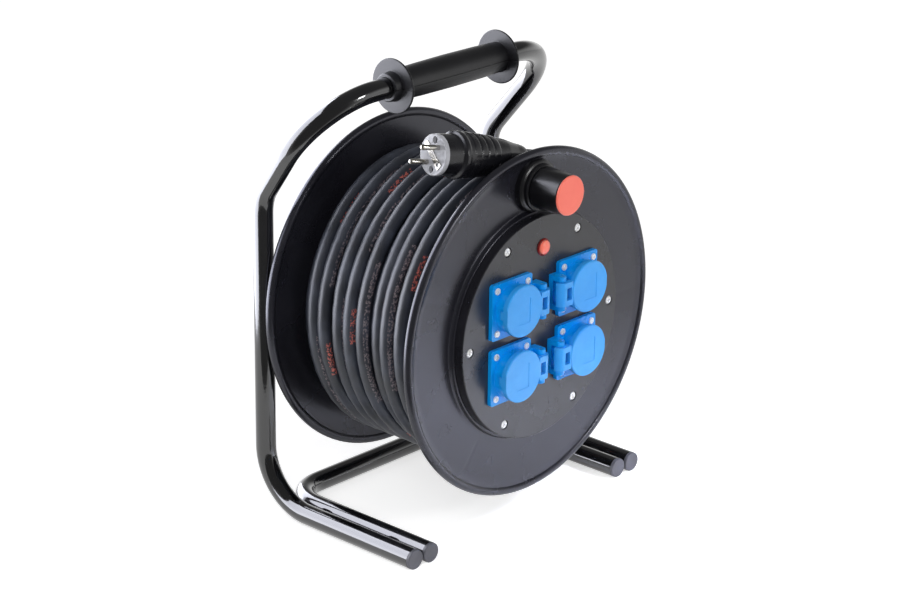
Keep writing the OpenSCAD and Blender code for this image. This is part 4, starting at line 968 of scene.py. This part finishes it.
def plug_skin():
    """Grid of the plug's rubber skin. The radius follows the outline with its corners rounded off,
    and each rib adds a flat-topped ring: its height times exp(-(distance from its middle / half
    width) to the eighth power). The ribs fade out on the two sides, where the mould parts."""
    far = np.concatenate([np.linspace(*run) for run in PLUG_RUNS])
    outline = np.array(PLUG_OUTLINE)
    radius = np.interp(far, outline[:, 0], outline[:, 1])
    held_on = np.pad(radius, AVERAGED // 2, mode="edge")
    inner = np.convolve(held_on, np.ones(AVERAGED) / AVERAGED, mode="valid")
    off = (far[:, None] - np.array(RIB_PLACES)) / RIB_HALF
    rib = RIB_HEIGHT * np.exp(-off ** 8).sum(1)
    t = 2 * math.pi * np.arange(PLUG_SIDES) / PLUG_SIDES
    ribbed = ease((np.abs(np.sin(t)) - PARTING) / RIB_RISE)
    grid = inner[:, None] + rib[:, None] * ribbed[None, :]
    grid = np.pad(grid, ((1, 1), (0, 0)))
    far = np.concatenate([[FACE_THICK], far, [PLUG_LENGTH]])
    return at_plug(np.stack([
        grid * np.cos(t), grid * np.sin(t), np.broadcast_to(-far[:, None], grid.shape)], -1))


# moulded rubber: black, with a waxy satin shine that handling dulls in patches, and a fine grain
soft_rubber = plastic("soft_rubber", ["#0e0e11", "#131317", "#1b1b20"],
                      roughness=0.26, grain=0.9, relief=0.05, ior=1.55, smudge=0.12)
plug = coat(surface("plug_skin", plug_skin(), ends=False), soft_rubber)
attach(plug, "drum")
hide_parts("plug_body")
# glossy, with a moulded waviness 2.6 mm across that breaks up what it mirrors
face_grey = plastic("grey_polycarbonate", ["#8b8c93", "#adaeb4", "#d0d1d6"],
                    roughness=0.16, grain=2.6, relief=0.2, ior=1.58)
plug_insert = dressed("plug_face", face_grey, 0.25)


def nickel_plate():
    """Nickel over brass: bright and slightly yellow, polished smooth, faintly cloudy in patches of
    5 mm."""
    material, tree, body = finish("nickel_plate")
    place = add(tree, "ShaderNodeTexCoord").outputs["Object"]
    tone = add(tree, "ShaderNodeTexNoise",
               {"Vector": place, "Scale": to_the_metre(5), "Detail": 4.0})
    colour = add(tree, "ShaderNodeValToRGB", {"Fac": tone.outputs["Fac"]},
                 stops=shade(["#a8a59b", "#bdbab2", "#c9c7c2"], 0.3, 0.7))
    feed(tree, body, {"Base Color": colour.outputs["Color"], "Metallic": 1.0, "Roughness": 0.16})
    return material


nickel = nickel_plate()
pins = dressed("plug_pins", nickel, 0.2)
strap = dressed("plug_strap", nickel, 0.2)


# ---- Studio ----
# A sheet of white paper that starts a little in front of the reel and runs on to the horizon, in a
# white room that looks dark overhead and towards the camera in what the reel mirrors. A small hard
# lamp stands to the right of the camera and a larger soft one to its left, and a weak narrow one
# lights the paper in front of the drum. A large window behind on the left is only ever mirrored.

PAPER_FRONT = 0.32
PAPER_REACH = 9.0
PAPER_HALF = 6.0
# strengths of the room's light on the reel, of the paper's own glow as it is seen and as it is
# mirrored, and of the dark parts of the room as they are mirrored
AMBIENT = 0.5
PAPER_GLOW = 0.6
MIRRORED_GLOW = 0.34
DIM_ROOM = 0.14

to_camera = -Vector((ahead.x, ahead.y, 0)).normalized()
across_view = Vector((-to_camera.y, to_camera.x, 0))
floor_mesh = bpy.data.meshes.new("floor")
floor_corners = [
    to_camera * along + across_view * side * PAPER_HALF
    for along, side in ((-PAPER_REACH, -1), (PAPER_FRONT, -1), (PAPER_FRONT, 1), (-PAPER_REACH, 1))
]
floor_mesh.from_pydata([tuple(corner) for corner in floor_corners], [], [(0, 1, 2, 3)])
floor = link("floor", floor_mesh)
floor_paint, floor_tree, floor_body = finish("floor_paper")


def seen_and_mirrored(tree):
    """One where the camera sees the thing straight or through glass, and one in reflections."""
    rays = add(tree, "ShaderNodeLightPath").outputs
    straight = add(tree, "ShaderNodeMath", {0: rays["Is Camera Ray"],
                                            1: rays["Is Transmission Ray"]}, operation="MAXIMUM")
    return straight.outputs[0], rays["Is Glossy Ray"]


seen, mirrored = seen_and_mirrored(floor_tree)
dull = add(floor_tree, "ShaderNodeMath", {0: mirrored, 1: MIRRORED_GLOW}, operation="MULTIPLY")
glow = add(floor_tree, "ShaderNodeMix", {"Factor": seen, "A": dull.outputs[0], "B": PAPER_GLOW})
feed(floor_tree, floor_body, {
    "Base Color": linear("#eeeeee"), "Roughness": 0.9, "Specular IOR Level": 0.1,
    "Emission Color": linear("#ffffff"), "Emission Strength": glow.outputs[0]})
coat(floor, floor_paint)

world = bpy.data.worlds.new("white_room")
bpy.context.scene.world = world
world.use_nodes = True
room = world.node_tree
room.nodes.clear()
seen, mirrored = seen_and_mirrored(room)
way = add(room, "ShaderNodeTexCoord").outputs["Generated"]
rise = add(room, "ShaderNodeSeparateXYZ", {"Vector": way}).outputs["Z"]
facing = add(room, "ShaderNodeVectorMath", {0: way, 1: to_camera}, operation="DOT_PRODUCT")
overhead = add(room, "ShaderNodeMapRange", {"Value": rise, "From Min": 0.1, "From Max": 0.5},
               interpolation_type="SMOOTHSTEP")
behind = add(room, "ShaderNodeMapRange",
             {"Value": facing.outputs["Value"], "From Min": 0.3, "From Max": 0.75},
             interpolation_type="SMOOTHSTEP")
dim = add(room, "ShaderNodeMath", {0: overhead.outputs[0], 1: behind.outputs[0]},
          operation="MAXIMUM")
mirror = add(room, "ShaderNodeMapRange",
             {"Value": dim.outputs[0], "To Min": 1.0, "To Max": DIM_ROOM})
soft = add(room, "ShaderNodeMix", {"Factor": mirrored, "A": AMBIENT, "B": mirror.outputs[0]})
strength = add(room, "ShaderNodeMix", {"Factor": seen, "A": soft.outputs[0], "B": 1.0})
backdrop = add(room, "ShaderNodeBackground", {"Color": linear("#ffffff"),
                                              "Strength": strength.outputs[0]})
add(room, "ShaderNodeOutputWorld", {"Surface": backdrop.outputs["Background"]})


def softbox(name, place, aim, size, watts, colour="#ffffff", mirrored=False):
    """Rectangular soft lamp at a place, facing a point, with its size in metres. Shiny surfaces
    mirror it only if asked, and the camera doesn't see it."""
    data = bpy.data.lights.new(name, "AREA")
    data.shape = "RECTANGLE"
    data.size, data.size_y = size
    data.energy = watts
    data.color = linear(colour)[:3]
    lamp = bpy.data.objects.new(name, data)
    lamp.visible_glossy = mirrored
    lamp.visible_camera = False
    bpy.context.scene.collection.objects.link(lamp)
    direction = Vector(aim) - Vector(place)
    facing_it = direction.to_track_quat("-Z", "Y").to_matrix().to_4x4()
    lamp.matrix_world = Matrix.Translation(place) @ facing_it
    return lamp


CENTRE = (0.0, 0.0, 0.2)
IN_FRONT = (0.16, -0.28, 0.0)
PAPER_LAMP_SPREAD = math.radians(50)
softbox("key", (0.4, -2.0, 1.0), CENTRE, size=(0.35, 0.35), watts=10, mirrored=True)
softbox("fill", (-1.6, -1.0, 1.2), CENTRE, size=(0.8, 1.0), watts=16.5)
paper_lamp = softbox("paper_lamp", (0.35, -0.6, 0.55), IN_FRONT, size=(0.12, 0.12), watts=0.65,
                     colour="#dfe4ff")
paper_lamp.data.spread = PAPER_LAMP_SPREAD
window = softbox("window", (-0.082, 0.768, 0.55), (0.596, 0.033, 0.55), size=(1.6, 1.1), watts=34,
                 colour="#f0f2ff", mirrored=True)
window.visible_diffuse = False

bpy.context.scene.view_settings.view_transform = "Standard"
bpy.context.view_layer.update()
